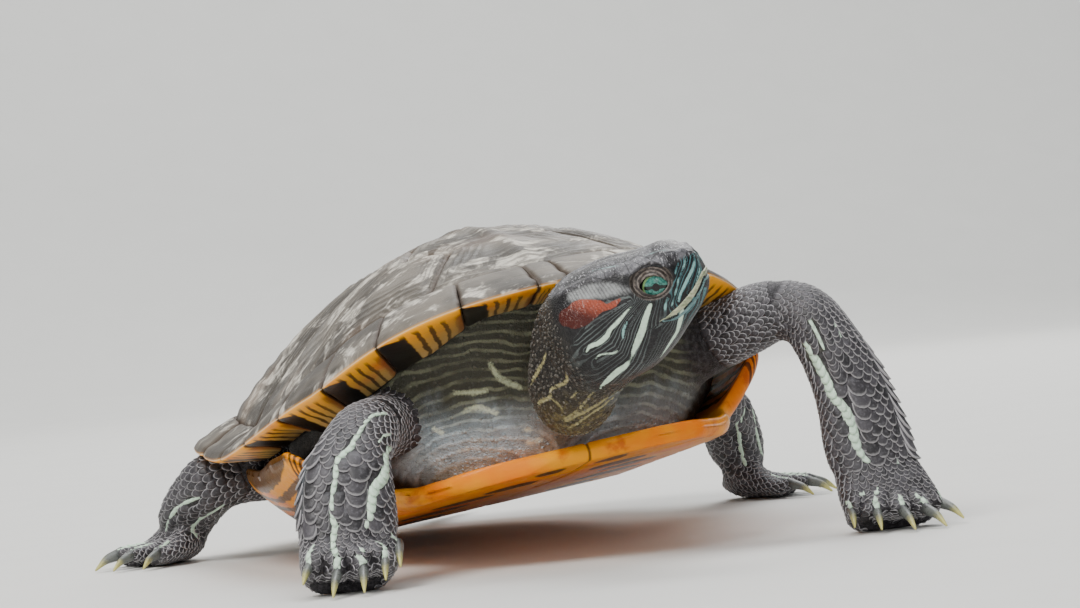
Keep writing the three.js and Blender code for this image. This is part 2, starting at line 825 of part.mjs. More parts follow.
function leg(name, upper, lower, palm, toes) {
  const upperKeep = toSolid(loft(upper, 12, GAP));
  const lowerKeep = toSolid(loft(lower, 12, GAP));
  const upperSolid = cut(toSolid(loft(upper, 12)), trunkKeep, ringKeep, plastronKeep);
  const lowerSolid = cut(toSolid(loft(lower, 12)), trunkKeep, ringKeep, plastronKeep, upperKeep);
  const footSolid = cut(foot(palm, toes), lowerKeep, upperKeep, plastronKeep);
  addMesh(flesh, `${name}_upper`, fromSolid(upperSolid), 'skin');
  addMesh(flesh, `${name}_lower`, fromSolid(lowerSolid), 'skin');
  addMesh(flesh, `${name}_foot`, fromSolid(footSolid), 'skin');
}

// Right foreleg: elbow forward, forearm flat to the front, foot on the floor.
leg(
  'right_fore',
  [
    [-43, -50, 34, 9, 9],
    [-45, -60, 36, 8.6, 8.6],
    [-47.5, -70, 38, 7.4, 7.4],
  ],
  [
    [-46, -70, 40.5, 4.6, 5],
    [-49, -73.5, 38, 7.8, 7],
    [-55, -80, 32, 9.0, 7.2, [1, 0, 0.2]],
    [-58.5, -86, 25, 11.2, 7, [1, 0, 0.1]],
    [-60, -90.5, 17, 12, 6.6],
    [-60.5, -93, 12.5, 11.4, 6],
  ],
  [
    [-60.5, -92, 12, 11.4, 6.2],
    [-61, -95, 8.2, 12, 6.4],
    [-61.6, -98.5, 5.6, 11.6, 6.7],
    [-62, -101.5, 4.6, 9.6, 5.8],
  ],
  [
    [[-66, -95, 8], [-71.0, -98.5, 7.4], [-74.0, -105, 4.0], 2.4],
    [[-63, -96, 6.5], [-65.6, -103, 5.2], [-68.2, -110.5, 0.8], 2.8],
    [[-61, -96, 6.5], [-59.5, -103.5, 5.6], [-61.0, -111, 1.2], 2.8],
    [[-57, -95, 8], [-53.8, -101, 7.6], [-55.2, -107.5, 3.2], 2.5],
    [[-55, -94, 10], [-49.6, -96.5, 9.6], [-50.6, -102.5, 5.4], 2.2],
  ],
);

// Left foreleg: elbow raised out to the side, forearm straight down.
leg(
  'left_fore',
  [
    [33, -50, 46, 10, 10, [0, 1, 0]],
    [44, -60, 51, 9.4, 9.2, [0, 1, 0]],
    [57, -69, 57, 8.2, 7.8, [0, 1, 0]],
  ],
  [
    [55, -68, 59, 5, 5, [0.5, 1, 0]],
    [60.5, -71, 56, 8.0, 7.4, [0.5, 1, 0]],
    [66, -76, 45.5, 8.6, 7.2, [1, 0.4, 0]],
    [69.5, -80, 33, 9.8, 6.8, [1, 0.2, 0]],
    [71, -83, 21, 11, 6.4],
    [72, -85, 15, 10.4, 6],
  ],
  [
    [72, -84.5, 15, 10.6, 6.1],
    [73, -88, 9, 12, 6.2],
    [74, -92, 4.8, 12.2, 5.8],
    [74.5, -95.5, 2.8, 11, 4],
  ],
  [
    [[69, -88, 6.5], [63.0, -91, 6.2], [61.5, -97, 2.2], 2.3],
    [[71, -89, 6], [67.8, -95.5, 5.4], [66.4, -102.5, 1.4], 2.6],
    [[74, -90, 5], [73.8, -98, 4.8], [73.8, -105.5, 0.8], 2.8],
    [[77, -90, 5], [80.0, -97, 4.6], [82.2, -104, 0.7], 2.8],
    [[80, -89, 6], [85.4, -92, 5.4], [88.8, -98, 1.6], 2.5],
  ],
);

// Hind legs: thighs out to the side, broad feet flat on the floor.
leg(
  'right_hind',
  [
    [-38, 58, 24, 11, 10, [0, 1, 0]],
    [-52, 50, 25, 11, 10, [0, 1, 0]],
    [-68, 42, 24, 9.5, 9, [0, 1, 0]],
  ],
  [
    [-66, 41, 25, 5, 5, [0, 1, 0]],
    [-72, 43, 23, 8.6, 8.4, [0.6, 1, 0]],
    [-77, 51, 18, 8.4, 7.6, [1, 0.2, 0]],
    [-80, 58, 12.5, 8.2, 6.6, [1, 0, 0]],
    [-81, 61, 9, 7.4, 6, [1, 0, 0]],
  ],
  [
    [-79.5, 62, 8.4, 7.6, 7, [0, 1, 0]],
    [-83, 60.5, 6, 10, 6.4, [0, 1, 0]],
    [-88, 58, 3.8, 12.5, 4.2, [0, 1, 0]],
    [-94, 55, 2.4, 13, 2.8, [0, 1, 0]],
  ],
  [
    [[-84, 54, 4.5], [-91.0, 44, 4], [-95.5, 39, 0.8], 2.5],
    [[-87, 56, 4.5], [-97.5, 48.5, 4], [-103, 45, 0.7], 2.7],
    [[-88, 58, 4.5], [-100.5, 55, 4], [-107, 53.5, 0.7], 2.7],
    [[-87, 60, 4.5], [-99.5, 62.5, 4], [-105.5, 63.5, 0.8], 2.6],
    [[-85, 62, 4], [-94.0, 68, 3], [-97.5, 70.5, 1.2], 2.3],
  ],
);

leg(
  'left_hind',
  [
    [34, 60, 32, 11, 10, [0, 1, 0]],
    [49, 53, 33, 11, 10, [0, 1, 0]],
    [65, 45, 32, 9.5, 9, [0, 1, 0]],
  ],
  [
    [63, 44, 33, 5, 5, [0, 1, 0]],
    [69, 46, 31, 8.6, 8.4, [-0.6, 1, 0]],
    [75, 54, 24, 8.4, 7.6, [1, -0.2, 0]],
    [79, 61, 16, 8.2, 6.6, [1, 0, 0]],
    [80.5, 64, 11, 7.4, 6, [1, 0, 0]],
  ],
  [
    [79, 65, 10, 7.8, 7.4, [0, 1, 0]],
    [82.5, 63.5, 6.6, 10, 6.6, [0, 1, 0]],
    [87.5, 61, 3.8, 12.5, 4.2, [0, 1, 0]],
    [93.5, 58, 2.4, 13, 2.8, [0, 1, 0]],
  ],
  [
    [[83.5, 57, 4.5], [90.5, 47, 4], [95.0, 42, 0.8], 2.5],
    [[86.5, 59, 4.5], [97.0, 51.5, 4], [102.5, 48, 0.7], 2.7],
    [[87.5, 61, 4.5], [100.0, 58, 4], [106.5, 56.5, 0.7], 2.7],
    [[86.5, 63, 4.5], [99.0, 65.5, 4], [105.0, 66.5, 0.8], 2.6],
    [[84.5, 65, 4], [93.5, 71, 3], [97.0, 73.5, 1.2], 2.3],
  ],
);

export default turtle;
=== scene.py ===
"""Looks of a life-size red-eared slider turtle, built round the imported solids.

Lengths in this file are millimetres until a mesh is made; the row's frame is in metres.
The turtle faces -Y, its left side is +X and the floor is z = 0.
"""

import itertools
import math

import bmesh
import bpy
import numpy as np
from mathutils import Matrix, Vector
from mathutils.bvhtree import BVHTree


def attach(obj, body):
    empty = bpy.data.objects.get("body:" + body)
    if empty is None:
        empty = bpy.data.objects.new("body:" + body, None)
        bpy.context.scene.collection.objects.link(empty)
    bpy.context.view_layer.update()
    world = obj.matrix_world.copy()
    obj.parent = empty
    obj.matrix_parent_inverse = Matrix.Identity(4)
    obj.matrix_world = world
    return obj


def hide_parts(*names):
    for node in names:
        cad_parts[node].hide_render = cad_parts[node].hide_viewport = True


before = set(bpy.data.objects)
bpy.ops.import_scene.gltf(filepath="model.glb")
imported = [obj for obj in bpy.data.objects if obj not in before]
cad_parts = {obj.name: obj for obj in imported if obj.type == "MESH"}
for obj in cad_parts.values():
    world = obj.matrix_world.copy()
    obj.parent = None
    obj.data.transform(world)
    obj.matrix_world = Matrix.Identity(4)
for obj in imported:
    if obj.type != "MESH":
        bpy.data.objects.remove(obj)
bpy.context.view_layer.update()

MM = 0.001
BODY = "root"

# ---- stance, the same values as the solids' ----

CENTRE_SHIFT = np.array([0.2, -1.8, 0.0])
SHELL_PITCH = 7.0
SHELL_ROLL = 7.0
SHELL_LIFT = 12.2
HEAD_TIP = np.array([23.0, -123.0, 65.7])
HEAD_TURN = 59.9
HEAD_PITCH = 20.0
HEAD_TILT = 13.8


def turn(axis, degrees):
    """Rotation matrix about a row axis."""
    return np.array(Matrix.Rotation(math.radians(degrees), 3, axis))


SHELL_TURN = turn("Z", -90) @ turn("Y", -SHELL_PITCH) @ turn("X", SHELL_ROLL)
SHELL_AT = CENTRE_SHIFT + np.array([0, 0, SHELL_LIFT])
HEAD_TURNING = turn("Z", HEAD_TURN - 90) @ turn("Y", -HEAD_PITCH) @ turn("X", HEAD_TILT)
HEAD_AT = HEAD_TIP + CENTRE_SHIFT


def shell_to_row(points):
    return np.asarray(points) @ SHELL_TURN.T + SHELL_AT


def row_to_shell(points):
    return (np.asarray(points) - SHELL_AT) @ SHELL_TURN


def head_to_row(points):
    return np.asarray(points) @ HEAD_TURNING.T + HEAD_AT


def row_to_head(points):
    return (np.asarray(points) - HEAD_AT) @ HEAD_TURNING


# ---- numbers and noise ----


def clamp(x, low=0.0, high=1.0):
    return np.minimum(np.maximum(x, low), high)


def ease(x):
    """Smooth step from 0 to 1."""
    t = clamp(x)
    return t * t * (3 - 2 * t)


def unit(v):
    return v / np.linalg.norm(v, axis=-1, keepdims=True)


def bump(x, width):
    """1 at x = 0, falling smoothly to 0 over a few widths."""
    return np.exp(-((x / width) ** 2))


def value_noise(points, scale, seed):
    """Smooth noise from -1 to 1, for an array of points."""
    p = np.asarray(points, float) / scale + seed * 17.31
    cell = np.floor(p).astype(np.int64)
    f = p - cell
    f = f * f * (3 - 2 * f)
    total = np.zeros(len(p))
    for corner in range(8):
        offset = np.array([corner & 1, (corner >> 1) & 1, (corner >> 2) & 1])
        k = cell + offset
        mixed = k[:, 0] * 73856093 ^ k[:, 1] * 19349663 ^ k[:, 2] * 83492791 ^ (seed * 2654435)
        mixed = (mixed ^ (mixed >> 13)) * 1274126177
        level = ((mixed ^ (mixed >> 16)) & 0xFFFF) / 32767.5 - 1
        weight = np.prod(np.where(offset == 1, f, 1 - f), axis=1)
        total += level * weight
    return total


def rough_noise(points, scale, seed, octaves=3):
    """Smooth noise with finer and finer noise added to it."""
    total = np.zeros(len(points))
    size = 1.0
    for octave in range(octaves):
        total += size * value_noise(points, scale / 2**octave, seed + octave * 5)
        size *= 0.5
    return total


def catmull(x, xs, ys):
    """Catmull-Rom curve through (xs, ys), read at x; the same curve as the solids use."""
    xs = np.asarray(xs, float)
    ys = np.asarray(ys, float)
    x = np.asarray(x, float)
    i = np.clip(np.searchsorted(xs, x, side="left") - 1, 0, len(xs) - 2)
    f = clamp((x - xs[i]) / (xs[i + 1] - xs[i]))
    p0 = ys[np.maximum(i - 1, 0)]
    p1 = ys[i]
    p2 = ys[i + 1]
    p3 = ys[np.minimum(i + 2, len(ys) - 1)]
    curve = f * (2 * p0 - 5 * p1 + 4 * p2 - p3 + f * (3 * (p1 - p2) + p3 - p0))
    return p1 + 0.5 * f * (p2 - p0 + curve)


def run_length(line):
    """How far along a line of points each of them is."""
    return np.concatenate([[0], np.cumsum(np.linalg.norm(np.diff(line, axis=0), axis=1))])


def line_distance(points, line):
    """Distance from each point to an open line of points, and where along it, 0 to 1."""
    points = np.asarray(points, float)
    line = np.asarray(line, float)
    best = np.full(len(points), 1e9)
    where = np.zeros(len(points))
    starts = run_length(line)
    for k, length in enumerate(np.linalg.norm(np.diff(line, axis=0), axis=1)):
        a = line[k]
        d = line[k + 1] - a
        t = clamp((points - a) @ d / max(length**2, 1e-12))
        gap = np.linalg.norm(points - (a + t[:, None] * d), axis=1)
        nearer = gap < best
        best[nearer] = gap[nearer]
        where[nearer] = ((starts[k] + t * length) / starts[-1])[nearer]
    return best, where


# ---- meshes ----


def gather(items, key, width=3, kind=float):
    """Rows of numbers, one for each point, face or other item of a mesh."""
    rows = np.zeros(len(items) * width, kind)
    items.foreach_get(key, rows)
    return rows.reshape(-1, width)


def add_object(name, data):
    """An object for a mesh, lamp or lens, linked to the scene."""
    thing = bpy.data.objects.new(name, data)
    bpy.context.scene.collection.objects.link(thing)
    return thing


def dress(name, mesh, material, replaces, attributes):
    """Makes a smooth piece of a mesh, riding on the body, with painted values at its points."""
    for key, values in attributes.items():
        layer = mesh.attributes.new(key, "FLOAT", "POINT")
        layer.data.foreach_set("value", np.asarray(values, np.float32))
    mesh.polygons.foreach_set("use_smooth", np.ones(len(mesh.polygons), bool))
    mesh.materials.append(material)
    piece = add_object(name, mesh)
    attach(piece, BODY)
    if replaces:
        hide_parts(*replaces)


def make_piece(name, points, faces, material, replaces, attributes, uv=None):
    """A piece from points in millimetres in the row's frame; uv is one place for each point."""
    mesh = bpy.data.meshes.new(name)
    mesh.from_pydata((points * MM).tolist(), [], faces)
    mesh.update()
    if uv is not None:
        layer = mesh.uv_layers.new(name="OFBake")
        corner = gather(mesh.loops, "vertex_index", 1, np.int32).ravel()
        layer.data.foreach_set("uv", np.asarray(uv, np.float32)[corner].ravel())
    dress(name, mesh, material, replaces, attributes)


def grid_faces(rows, columns, wrap=False):
    """Quads of a grid of points stored row by row; wrap joins each row's ends."""
    span = columns if wrap else columns - 1
    j, i = [q.ravel() for q in np.meshgrid(np.arange(rows - 1), np.arange(span), indexing="ij")]
    right = (i + 1) % columns
    return np.stack([j * columns + i, j * columns + right,
                     (j + 1) * columns + right, (j + 1) * columns + i], axis=1).tolist()


def grid_rim(rows, columns):
    """Points round the edge of such a grid, in order."""
    rim = list(range(columns)) + [r * columns + columns - 1 for r in range(1, rows)]
    rim += [(rows - 1) * columns + c for c in range(columns - 2, -1, -1)]
    return rim + [r * columns for r in range(rows - 2, 0, -1)]


def sheet_faces(rows, columns):
    """A thick sheet: one grid, a second one after it facing the other way, and the rim between."""
    count = rows * columns
    faces = grid_faces(rows, columns)
    faces += [[count + a, count + d, count + c, count + b] for a, b, c, d in faces]
    rim = grid_rim(rows, columns)
    return faces + [[b, a, count + a, count + b] for a, b in zip(rim, rim[1:] + rim[:1])]


def tube_faces(rings, around):
    """A tube of rings, closed by fans from two middles stored after its points."""
    faces = grid_faces(rings, around, wrap=True)
    first, last = rings * around, (rings - 1) * around
    for i in range(around):
        j = (i + 1) % around
        faces += [[first, j, i], [first + 1, last + i, last + j]]
    return faces


def loop_angles(count):
    return np.linspace(0, 2 * math.pi, count, endpoint=False)


def signed_volume(points, faces):
    p = np.asarray(points, float)
    total = 0.0
    for face in faces:
        for k in range(1, len(face) - 1):
            total += np.dot(p[face[0]], np.cross(p[face[k]], p[face[k + 1]]))
    return total


def facing_out(points, faces):
    return faces if signed_volume(points, faces) > 0 else [face[::-1] for face in faces]


def tube(rings):
    """Points and faces of a closed tube through rings of points."""
    points = np.vstack(rings + [rings[0].mean(0), rings[-1].mean(0)])
    return points, facing_out(points, tube_faces(len(rings), len(rings[0])))


def flat_ended_faces(rings, around):
    """A tube of rings, closed by one flat face at each end."""
    ends = [list(range(around)), list(range((rings - 1) * around, rings * around))[::-1]]
    return grid_faces(rings, around, wrap=True) + ends


def joined(shapes):
    """Several closed shapes, each of points and faces, as one."""
    points, faces, start = [], [], 0
    for own_points, own_faces in shapes:
        points.append(own_points)
        faces += [[i + start for i in face] for face in own_faces]
        start += len(own_points)
    return np.vstack(points), faces


# ---- materials ----


class Nodes:
    """Short calls for building a node tree; every call gives back an output socket."""

    def __init__(self, tree):
        self.tree = tree
        self.column = 0

    def add(self, kind, **settings):
        node = self.tree.nodes.new(kind)
        self.column += 1
        node.location = (180 * (self.column % 12), -220 * (self.column // 12))
        for key, value in settings.items():
            setattr(node, key, value)
        return node

    def feed(self, socket, value):
        """Links a socket or sets its value; a colour may be given as a hex string."""
        if isinstance(value, bpy.types.NodeSocket):
            self.tree.links.new(value, socket)
        else:
            socket.default_value = rgb(value) if isinstance(value, str) else value

    def math(self, operation, *values):
        node = self.add("ShaderNodeMath", operation=operation)
        for k, value in enumerate(values):
            self.feed(node.inputs[k], value)
        return node.outputs[0]

    def times(self, a, b):
        return self.math("MULTIPLY", a, b)

    def plus(self, a, b):
        return self.math("ADD", a, b)

    def minus(self, a, b):
        return self.math("SUBTRACT", a, b)

    def sine(self, value):
        return self.math("SINE", value)

    def hypot(self, a, b):
        return self.math("SQRT", self.plus(self.times(a, a), self.times(b, b)))

    def step(self, value, low, high, to_low=0.0, to_high=1.0):
        """Smooth change from to_low to to_high as value goes from low to high."""
        node = self.add("ShaderNodeMapRange", interpolation_type="SMOOTHSTEP")
        for key, item in (("Value", value), ("From Min", low), ("From Max", high),
                          ("To Min", to_low), ("To Max", to_high)):
            self.feed(node.inputs[key], item)
        return node.outputs[0]

    def attribute(self, name):
        return self.add("ShaderNodeAttribute", attribute_name=name).outputs["Fac"]

    def attributes(self, *names):
        return [self.attribute(name) for name in names]

    def place(self):
        return self.add("ShaderNodeTexCoord").outputs["Object"]

    def stretch(self, vector, scale):
        node = self.add("ShaderNodeMapping")
        self.feed(node.inputs["Vector"], vector)
        node.inputs["Scale"].default_value = scale
        return node.outputs[0]

    def noise(self, vector, scale, detail=3.0, rough=0.55, warp=0.0):
        node = self.add("ShaderNodeTexNoise")
        self.feed(node.inputs["Vector"], vector)
        self.feed(node.inputs["Scale"], scale)
        node.inputs["Detail"].default_value = detail
        node.inputs["Roughness"].default_value = rough
        node.inputs["Distortion"].default_value = warp
        return node.outputs["Fac"]

    def cells(self, vector, scale):
        """Distance to the nearest edge between cells."""
        node = self.add("ShaderNodeTexVoronoi", feature="DISTANCE_TO_EDGE")
        self.feed(node.inputs["Vector"], vector)
        self.feed(node.inputs["Scale"], scale)
        return node.outputs["Distance"]

    def mix(self, share, a, b):
        node = self.add("ShaderNodeMix", data_type="RGBA", blend_type="MIX")
        self.feed(node.inputs["Factor"], share)
        self.feed(node.inputs["A"], a)
        self.feed(node.inputs["B"], b)
        return node.outputs["Result"]

    def blend(self, value, low, high, a, b, most=1.0):
        """Colour a where value is under low, changing to b, or most of the way, at high."""
        return self.mix(self.step(value, low, high, 0.0, most), a, b)

    def group(self, tree, **values):
        node = self.add("ShaderNodeGroup", node_tree=tree)
        for key, value in values.items():
            self.feed(node.inputs[key.replace("_", " ")], value)
        return node.outputs


def rgb(text):
    """Linear colour from a hex string of screen colour."""
    parts = [int(text[k:k + 2], 16) / 255 for k in (0, 2, 4)]
    return tuple(c / 12.92 if c <= 0.04045 else ((c + 0.055) / 1.055) ** 2.4 for c in parts) + (1.0,)


def new_group(name, inputs, outputs):
    """A node group with its sockets; gives the tree, its Nodes, its inputs and its outputs."""
    tree = bpy.data.node_groups.new(name, "ShaderNodeTree")
    for label, kind, value in inputs:
        socket = tree.interface.new_socket(label, in_out="INPUT", socket_type=kind)
        if value is not None:
            socket.default_value = value
    for label, kind in outputs:
        tree.interface.new_socket(label, in_out="OUTPUT", socket_type=kind)
    nodes = Nodes(tree)
    source = nodes.add("NodeGroupInput").outputs
    target = nodes.add("NodeGroupOutput").inputs
    return tree, nodes, source, target


FLOAT, COLOUR, VECTOR = "NodeSocketFloat", "NodeSocketColor", "NodeSocketVector"


def ragged_edge_group():
    """Turns a distance from a marking's edge, minus inside, into a mask with a ragged edge."""
    tree, n, given, out = new_group(
        "ragged_edge",
        [("Place", VECTOR, None), ("Distance", FLOAT, 0.0), ("Softness", FLOAT, 0.15),
         ("Ragged", FLOAT, 0.3), ("Grain", FLOAT, 900.0)],
        [("Mask", FLOAT)])
    wobble = n.minus(n.noise(given["Place"], given["Grain"], 2.0), 0.5)
    moved = n.math("MULTIPLY_ADD", wobble, n.times(given["Ragged"], 2.0), given["Distance"])
    low = n.times(given["Softness"], -1.0)
    n.feed(out["Mask"], n.step(moved, low, given["Softness"], 1.0, 0.0))
    return tree


def horn_wear_group():
    """Grey worn horn: broad tone change, pale flaked patches, dark specks, and their height."""
    tree, n, given, out = new_group(
        "horn_wear",
        [("Place", VECTOR, None), ("Horn", COLOUR, rgb("6f685e")), ("Dark", COLOUR, rgb("45403a")),
         ("Pale", COLOUR, rgb("dbd4c6")), ("Patches", FLOAT, 0.5), ("Edge", FLOAT, 10.0)],
        [("Color", COLOUR), ("Rough", FLOAT), ("Height", FLOAT)])
    broad = n.noise(given["Place"], 45.0, 3.0, 0.6)
    tone = n.blend(broad, 0.4, 0.62, given["Dark"], given["Horn"])
    patch_shape = n.noise(given["Place"], 95.0, 4.0, 0.62, 0.6)
    level = n.minus(1.0, given["Patches"])
    patch = n.step(patch_shape, level, n.plus(level, 0.12))
    streaks = n.noise(n.stretch(given["Place"], (1.0, 3.5, 1.0)), 330.0, 4.0, 0.65)
    patch = n.times(patch, n.step(streaks, 0.3, 0.62, 0.35, 1.0))
    coated = n.mix(n.times(patch, 0.9), tone, given["Pale"])
    specks = n.noise(given["Place"], 1400.0, 3.0, 0.7)
    coated = n.blend(specks, 0.58, 0.72, coated, given["Dark"], 0.55)
    coated = n.blend(streaks, 0.62, 0.75, coated, given["Pale"], 0.35)
    groove = n.step(given["Edge"], 0.25, 1.5, 0.85, 0.0)
    coated = n.mix(groove, coated, "3a2a1c")
    n.feed(out["Color"], coated)
    n.feed(out["Rough"], n.step(patch_shape, 0.3, 0.7, 0.42, 0.72))
    height = n.plus(n.times(specks, 0.25), n.times(streaks, 0.5))
    n.feed(out["Height"], n.plus(height, n.times(patch, 0.35)))
    return tree


def skin_grain_group():
    """Fine granules of reptile skin with creases between them, as a height."""
    tree, n, given, out = new_group(
        "skin_grain",
        [("Place", VECTOR, None), ("Size", FLOAT, 1100.0), ("Creases", FLOAT, 1.0)],
        [("Height", FLOAT)])
    edge = n.cells(given["Place"], given["Size"])
    granule = n.step(edge, 0.0, 0.28)
    fine = n.noise(given["Place"], n.times(given["Size"], 2.2), 3.0, 0.6)
    n.feed(out["Height"], n.plus(n.times(granule, given["Creases"]), n.times(fine, 0.4)))
    return tree


RAGGED = ragged_edge_group()
HORN_WEAR = horn_wear_group()
SKIN_GRAIN = skin_grain_group()


def new_material(name):
    """The Nodes of a new material, holding it and the sockets of its shader."""
    material = bpy.data.materials.new(name)
    material.use_nodes = True
    material.node_tree.nodes.clear()
    n = Nodes(material.node_tree)
    shader = n.add("ShaderNodeBsdfPrincipled")
    output = n.add("ShaderNodeOutputMaterial")
    n.tree.links.new(shader.outputs[0], output.inputs["Surface"])
    n.material, n.sockets = material, shader.inputs
    return n


def surface(n, colour, rough, height=None, distance=0.0, strength=1.0, **values):
    """Feeds a material's colour, gloss and relief, sets plain values and gives the material."""
    n.feed(n.sockets["Base Color"], colour)
    n.feed(n.sockets["Roughness"], rough)
    if height is not None:
        node = n.add("ShaderNodeBump")
        node.inputs["Strength"].default_value = strength
        node.inputs["Distance"].default_value = distance
        n.feed(node.inputs["Height"], height)
        n.feed(n.sockets["Normal"], node.outputs[0])
    for label, value in values.items():
        n.sockets[label.replace("_", " ")].default_value = value
    return n.material


def carapace_material():
    """Weathered grey-brown horn of the dome: growth rings, pale patches, brown seams."""
    n = new_material("carapace_horn")
    place = n.place()
    ring, edge = n.attributes("ring", "edge")
    wear = n.group(HORN_WEAR, Place=place, Edge=edge, Patches=0.5)
    wobble = n.times(n.noise(place, 160.0, 3.0), 0.16)
    waves = n.sine(n.times(n.plus(ring, wobble), 46.0))
    lines = n.step(waves, 0.35, 0.95, 0.0, 0.5)
    lines = n.times(lines, n.step(ring, 0.3, 0.55))
    colour = n.mix(lines, wear["Color"], "3f3932")
    warm = n.noise(place, 28.0, 2.0)
    colour = n.blend(warm, 0.52, 0.7, colour, "7b6350", 0.4)
    height = n.plus(wear["Height"], n.times(lines, -0.6))
    return surface(n, colour, wear["Rough"], height, 0.0004, 0.75, Specular_IOR_Level=0.45)


def marginal_material():
    """Rim plates: worn horn above; orange with a black blotch and dark curved lines below."""
    n = new_material("marginal_horn")
    place = n.place()
    along, out, under, edge = n.attributes("along", "out", "under", "edge")
    wear = n.group(HORN_WEAR, Place=place, Edge=edge, Patches=0.47)
    flame = n.noise(place, 120.0, 3.0)
    glow = n.blend(out, 0.25, 0.95, "b58427", "ffac00")
    glow = n.blend(flame, 0.5, 0.78, glow, "cf4a08", 0.6)
    pale = n.blend(out, 0.75, 0.1, glow, "b9a878", 0.55)
    run = n.times(n.minus(along, 1.0), 2.2)
    rise = n.times(n.minus(out, 0.3), 0.6)
    reach = n.hypot(run, rise)
    reach = n.plus(reach, n.times(n.minus(n.noise(place, 260.0, 2.0), 0.5), 0.22))
    bands = n.sine(n.times(reach, 19.0))
    back = n.minus(1.0, along)
    inside_rim = n.step(n.plus(out, n.times(back, 0.25)), 1.0, 0.84)
    lines = n.times(n.step(bands, 0.1, 0.75), n.times(n.step(reach, 2.3, 1.6), inside_rim))
    striped = n.mix(n.times(lines, 0.86), pale, "2c1c12")
    blotch = n.times(n.step(reach, 0.86, 0.74), n.step(n.plus(out, n.times(back, 0.7)), 1.0, 0.94))
    marked = n.mix(blotch, striped, "14120f")
    rust = n.times(n.step(along, 0.13, 0.03), inside_rim)
    marked = n.mix(n.times(rust, 0.7), marked, "7a3314")
    marked = n.mix(n.step(edge, 0.2, 0.7, 0.9, 0.0), marked, "1b140e")
    rim_line = n.times(n.step(out, 0.965, 0.995), 0.8)
    marked = n.mix(rim_line, marked, "d9cdb0")
    colour = n.mix(under, wear["Color"], marked)
    height = n.times(wear["Height"], n.step(under, 0.0, 1.0, 1.0, 0.35))
    return surface(n, colour, n.step(under, 0.3, 0.7, 0.62, 0.36), height, 0.00035, 0.7)


def plastron_material():
    """Glossy orange-yellow horn with dark paired blotches below and brown seams."""
    n = new_material("plastron_horn")
    place = n.place()
    edge, blot, bridge = n.attributes("edge", "blotch", "bridge")
    broad = n.noise(place, 60.0, 3.0)
    base = n.blend(broad, 0.35, 0.7, "f09c00", "ea7600")
    burn = n.noise(place, 130.0, 4.0, 0.6, 0.4)
    base = n.blend(burn, 0.55, 0.72, base, "b8480e", 0.7)
    mask = n.group(RAGGED, Place=place, Distance=blot, Softness=0.5, Ragged=2.2, Grain=220.0)["Mask"]
    base = n.mix(n.times(mask, 0.92), base, "17120e")
    lines = n.sine(n.plus(n.times(bridge, 5.2), n.times(burn, 3.0)))
    dark_bridge = n.times(n.step(lines, -0.2, 0.4), n.step(bridge, 0.2, 1.2))
    base = n.mix(n.times(dark_bridge, 0.85), base, "211a12")
    base = n.mix(n.step(edge, 0.1, 0.55, 0.85, 0.0), base, "3a1f10")
    fine = n.noise(place, 900.0, 4.0, 0.6)
    return surface(n, base, n.step(fine, 0.3, 0.7, 0.28, 0.42), fine, 0.00018, 0.4,
                   Specular_IOR_Level=0.12, Coat_Weight=0.08, Coat_Roughness=0.12)


# ---- shell: the same outline and dome as the solids ----

CREST_X, CREST_Z, DOME_POWER = -9.0, 71.0, 2.0
WIDEST_X, FRONT_REACH, REAR_REACH, HALF_WIDTH = -30.3, 128.3, 70.7, 75.0
EDGE_X = [-101, -60, 0, 60, 98]
EDGE_Z = [27.4, 35.6, 27.3, 33.6, 44.4]
RING = 0.84
RIM_DROP = 3.4
PLATE_T = 3.5
GAP = 0.3
SEAMS = [1.9, 14.7, 31.4, 44.4, 56.7, 68.6, 79.6, 89.3, 103.8, 122.0, 141.1, 160.5, 179.4]
MID_SEAM_X = [50, 14, -24, -57]
MID_SEAM_HALF = [13, 14, 13, 9]
MID_POINT_X = [32, -5, -41]
MID_POINT_HALF = [21, 21, 19]
FRONT_HALF = 20
REAR_CORNER_X = -76
COSTAL_RIM_X = [38, -8, -48]


def edge_point(phi):
    """Outline of the shell seen from above."""
    c, s = np.cos(phi), np.sin(phi)
    ahead = c >= 0
    x = np.where(ahead, WIDEST_X + FRONT_REACH * np.abs(c) ** (2 / 2.17),
                 WIDEST_X - REAR_REACH * np.abs(c) ** (2 / 2.4))
    power = np.where(ahead, 2 / 2.3, 2 / 2.1)
    return x, HALF_WIDTH * np.sign(s) * np.abs(s) ** power


def edge_height(x):
    return catmull(x, EDGE_X, EDGE_Z)


def shell_point(rho, phi):
    """Point of the dome's surface: rho is 0 at the crest and 1 at the edge."""
    ex, ey = edge_point(phi)
    low = edge_height(ex)
    shelf = 0.14 + 0.12 * clamp((ex - 10) / 60)
    inner = (1 - shelf) * (1 - (rho / RING) ** DOME_POWER) + shelf
    outer = shelf * (1 - np.abs((rho - RING) / (1 - RING)) ** 1.4)
    rise = np.where(rho < RING, inner, outer)
    return np.stack([CREST_X + (ex - CREST_X) * rho, ey * rho, low + (CREST_Z - low) * rise], -1)


def edge_reach(phi):
    """Distance of the edge from the crest, seen from above."""
    ex, ey = edge_point(phi)
    return np.hypot(ex - CREST_X, ey)


def phi_at(x, y):
    """Edge parameter in the direction of (x, y) from the crest."""
    aim = np.arctan2(np.abs(y), x - CREST_X)
    low = np.zeros_like(aim)
    high = np.full_like(aim, math.pi)
    for _ in range(34):
        mid = (low + high) / 2
        ex, ey = edge_point(mid)
        less = np.arctan2(ey, ex - CREST_X) < aim
        low = np.where(less, mid, low)
        high = np.where(less, high, mid)
    return np.where(y < 0, -low, low)


def dome_height(x, y):
    """Height of the dome's surface over (x, y)."""
    phi = phi_at(x, y)
    rho = np.hypot(x - CREST_X, y) / edge_reach(phi)
    return shell_point(rho, phi)[..., 2]


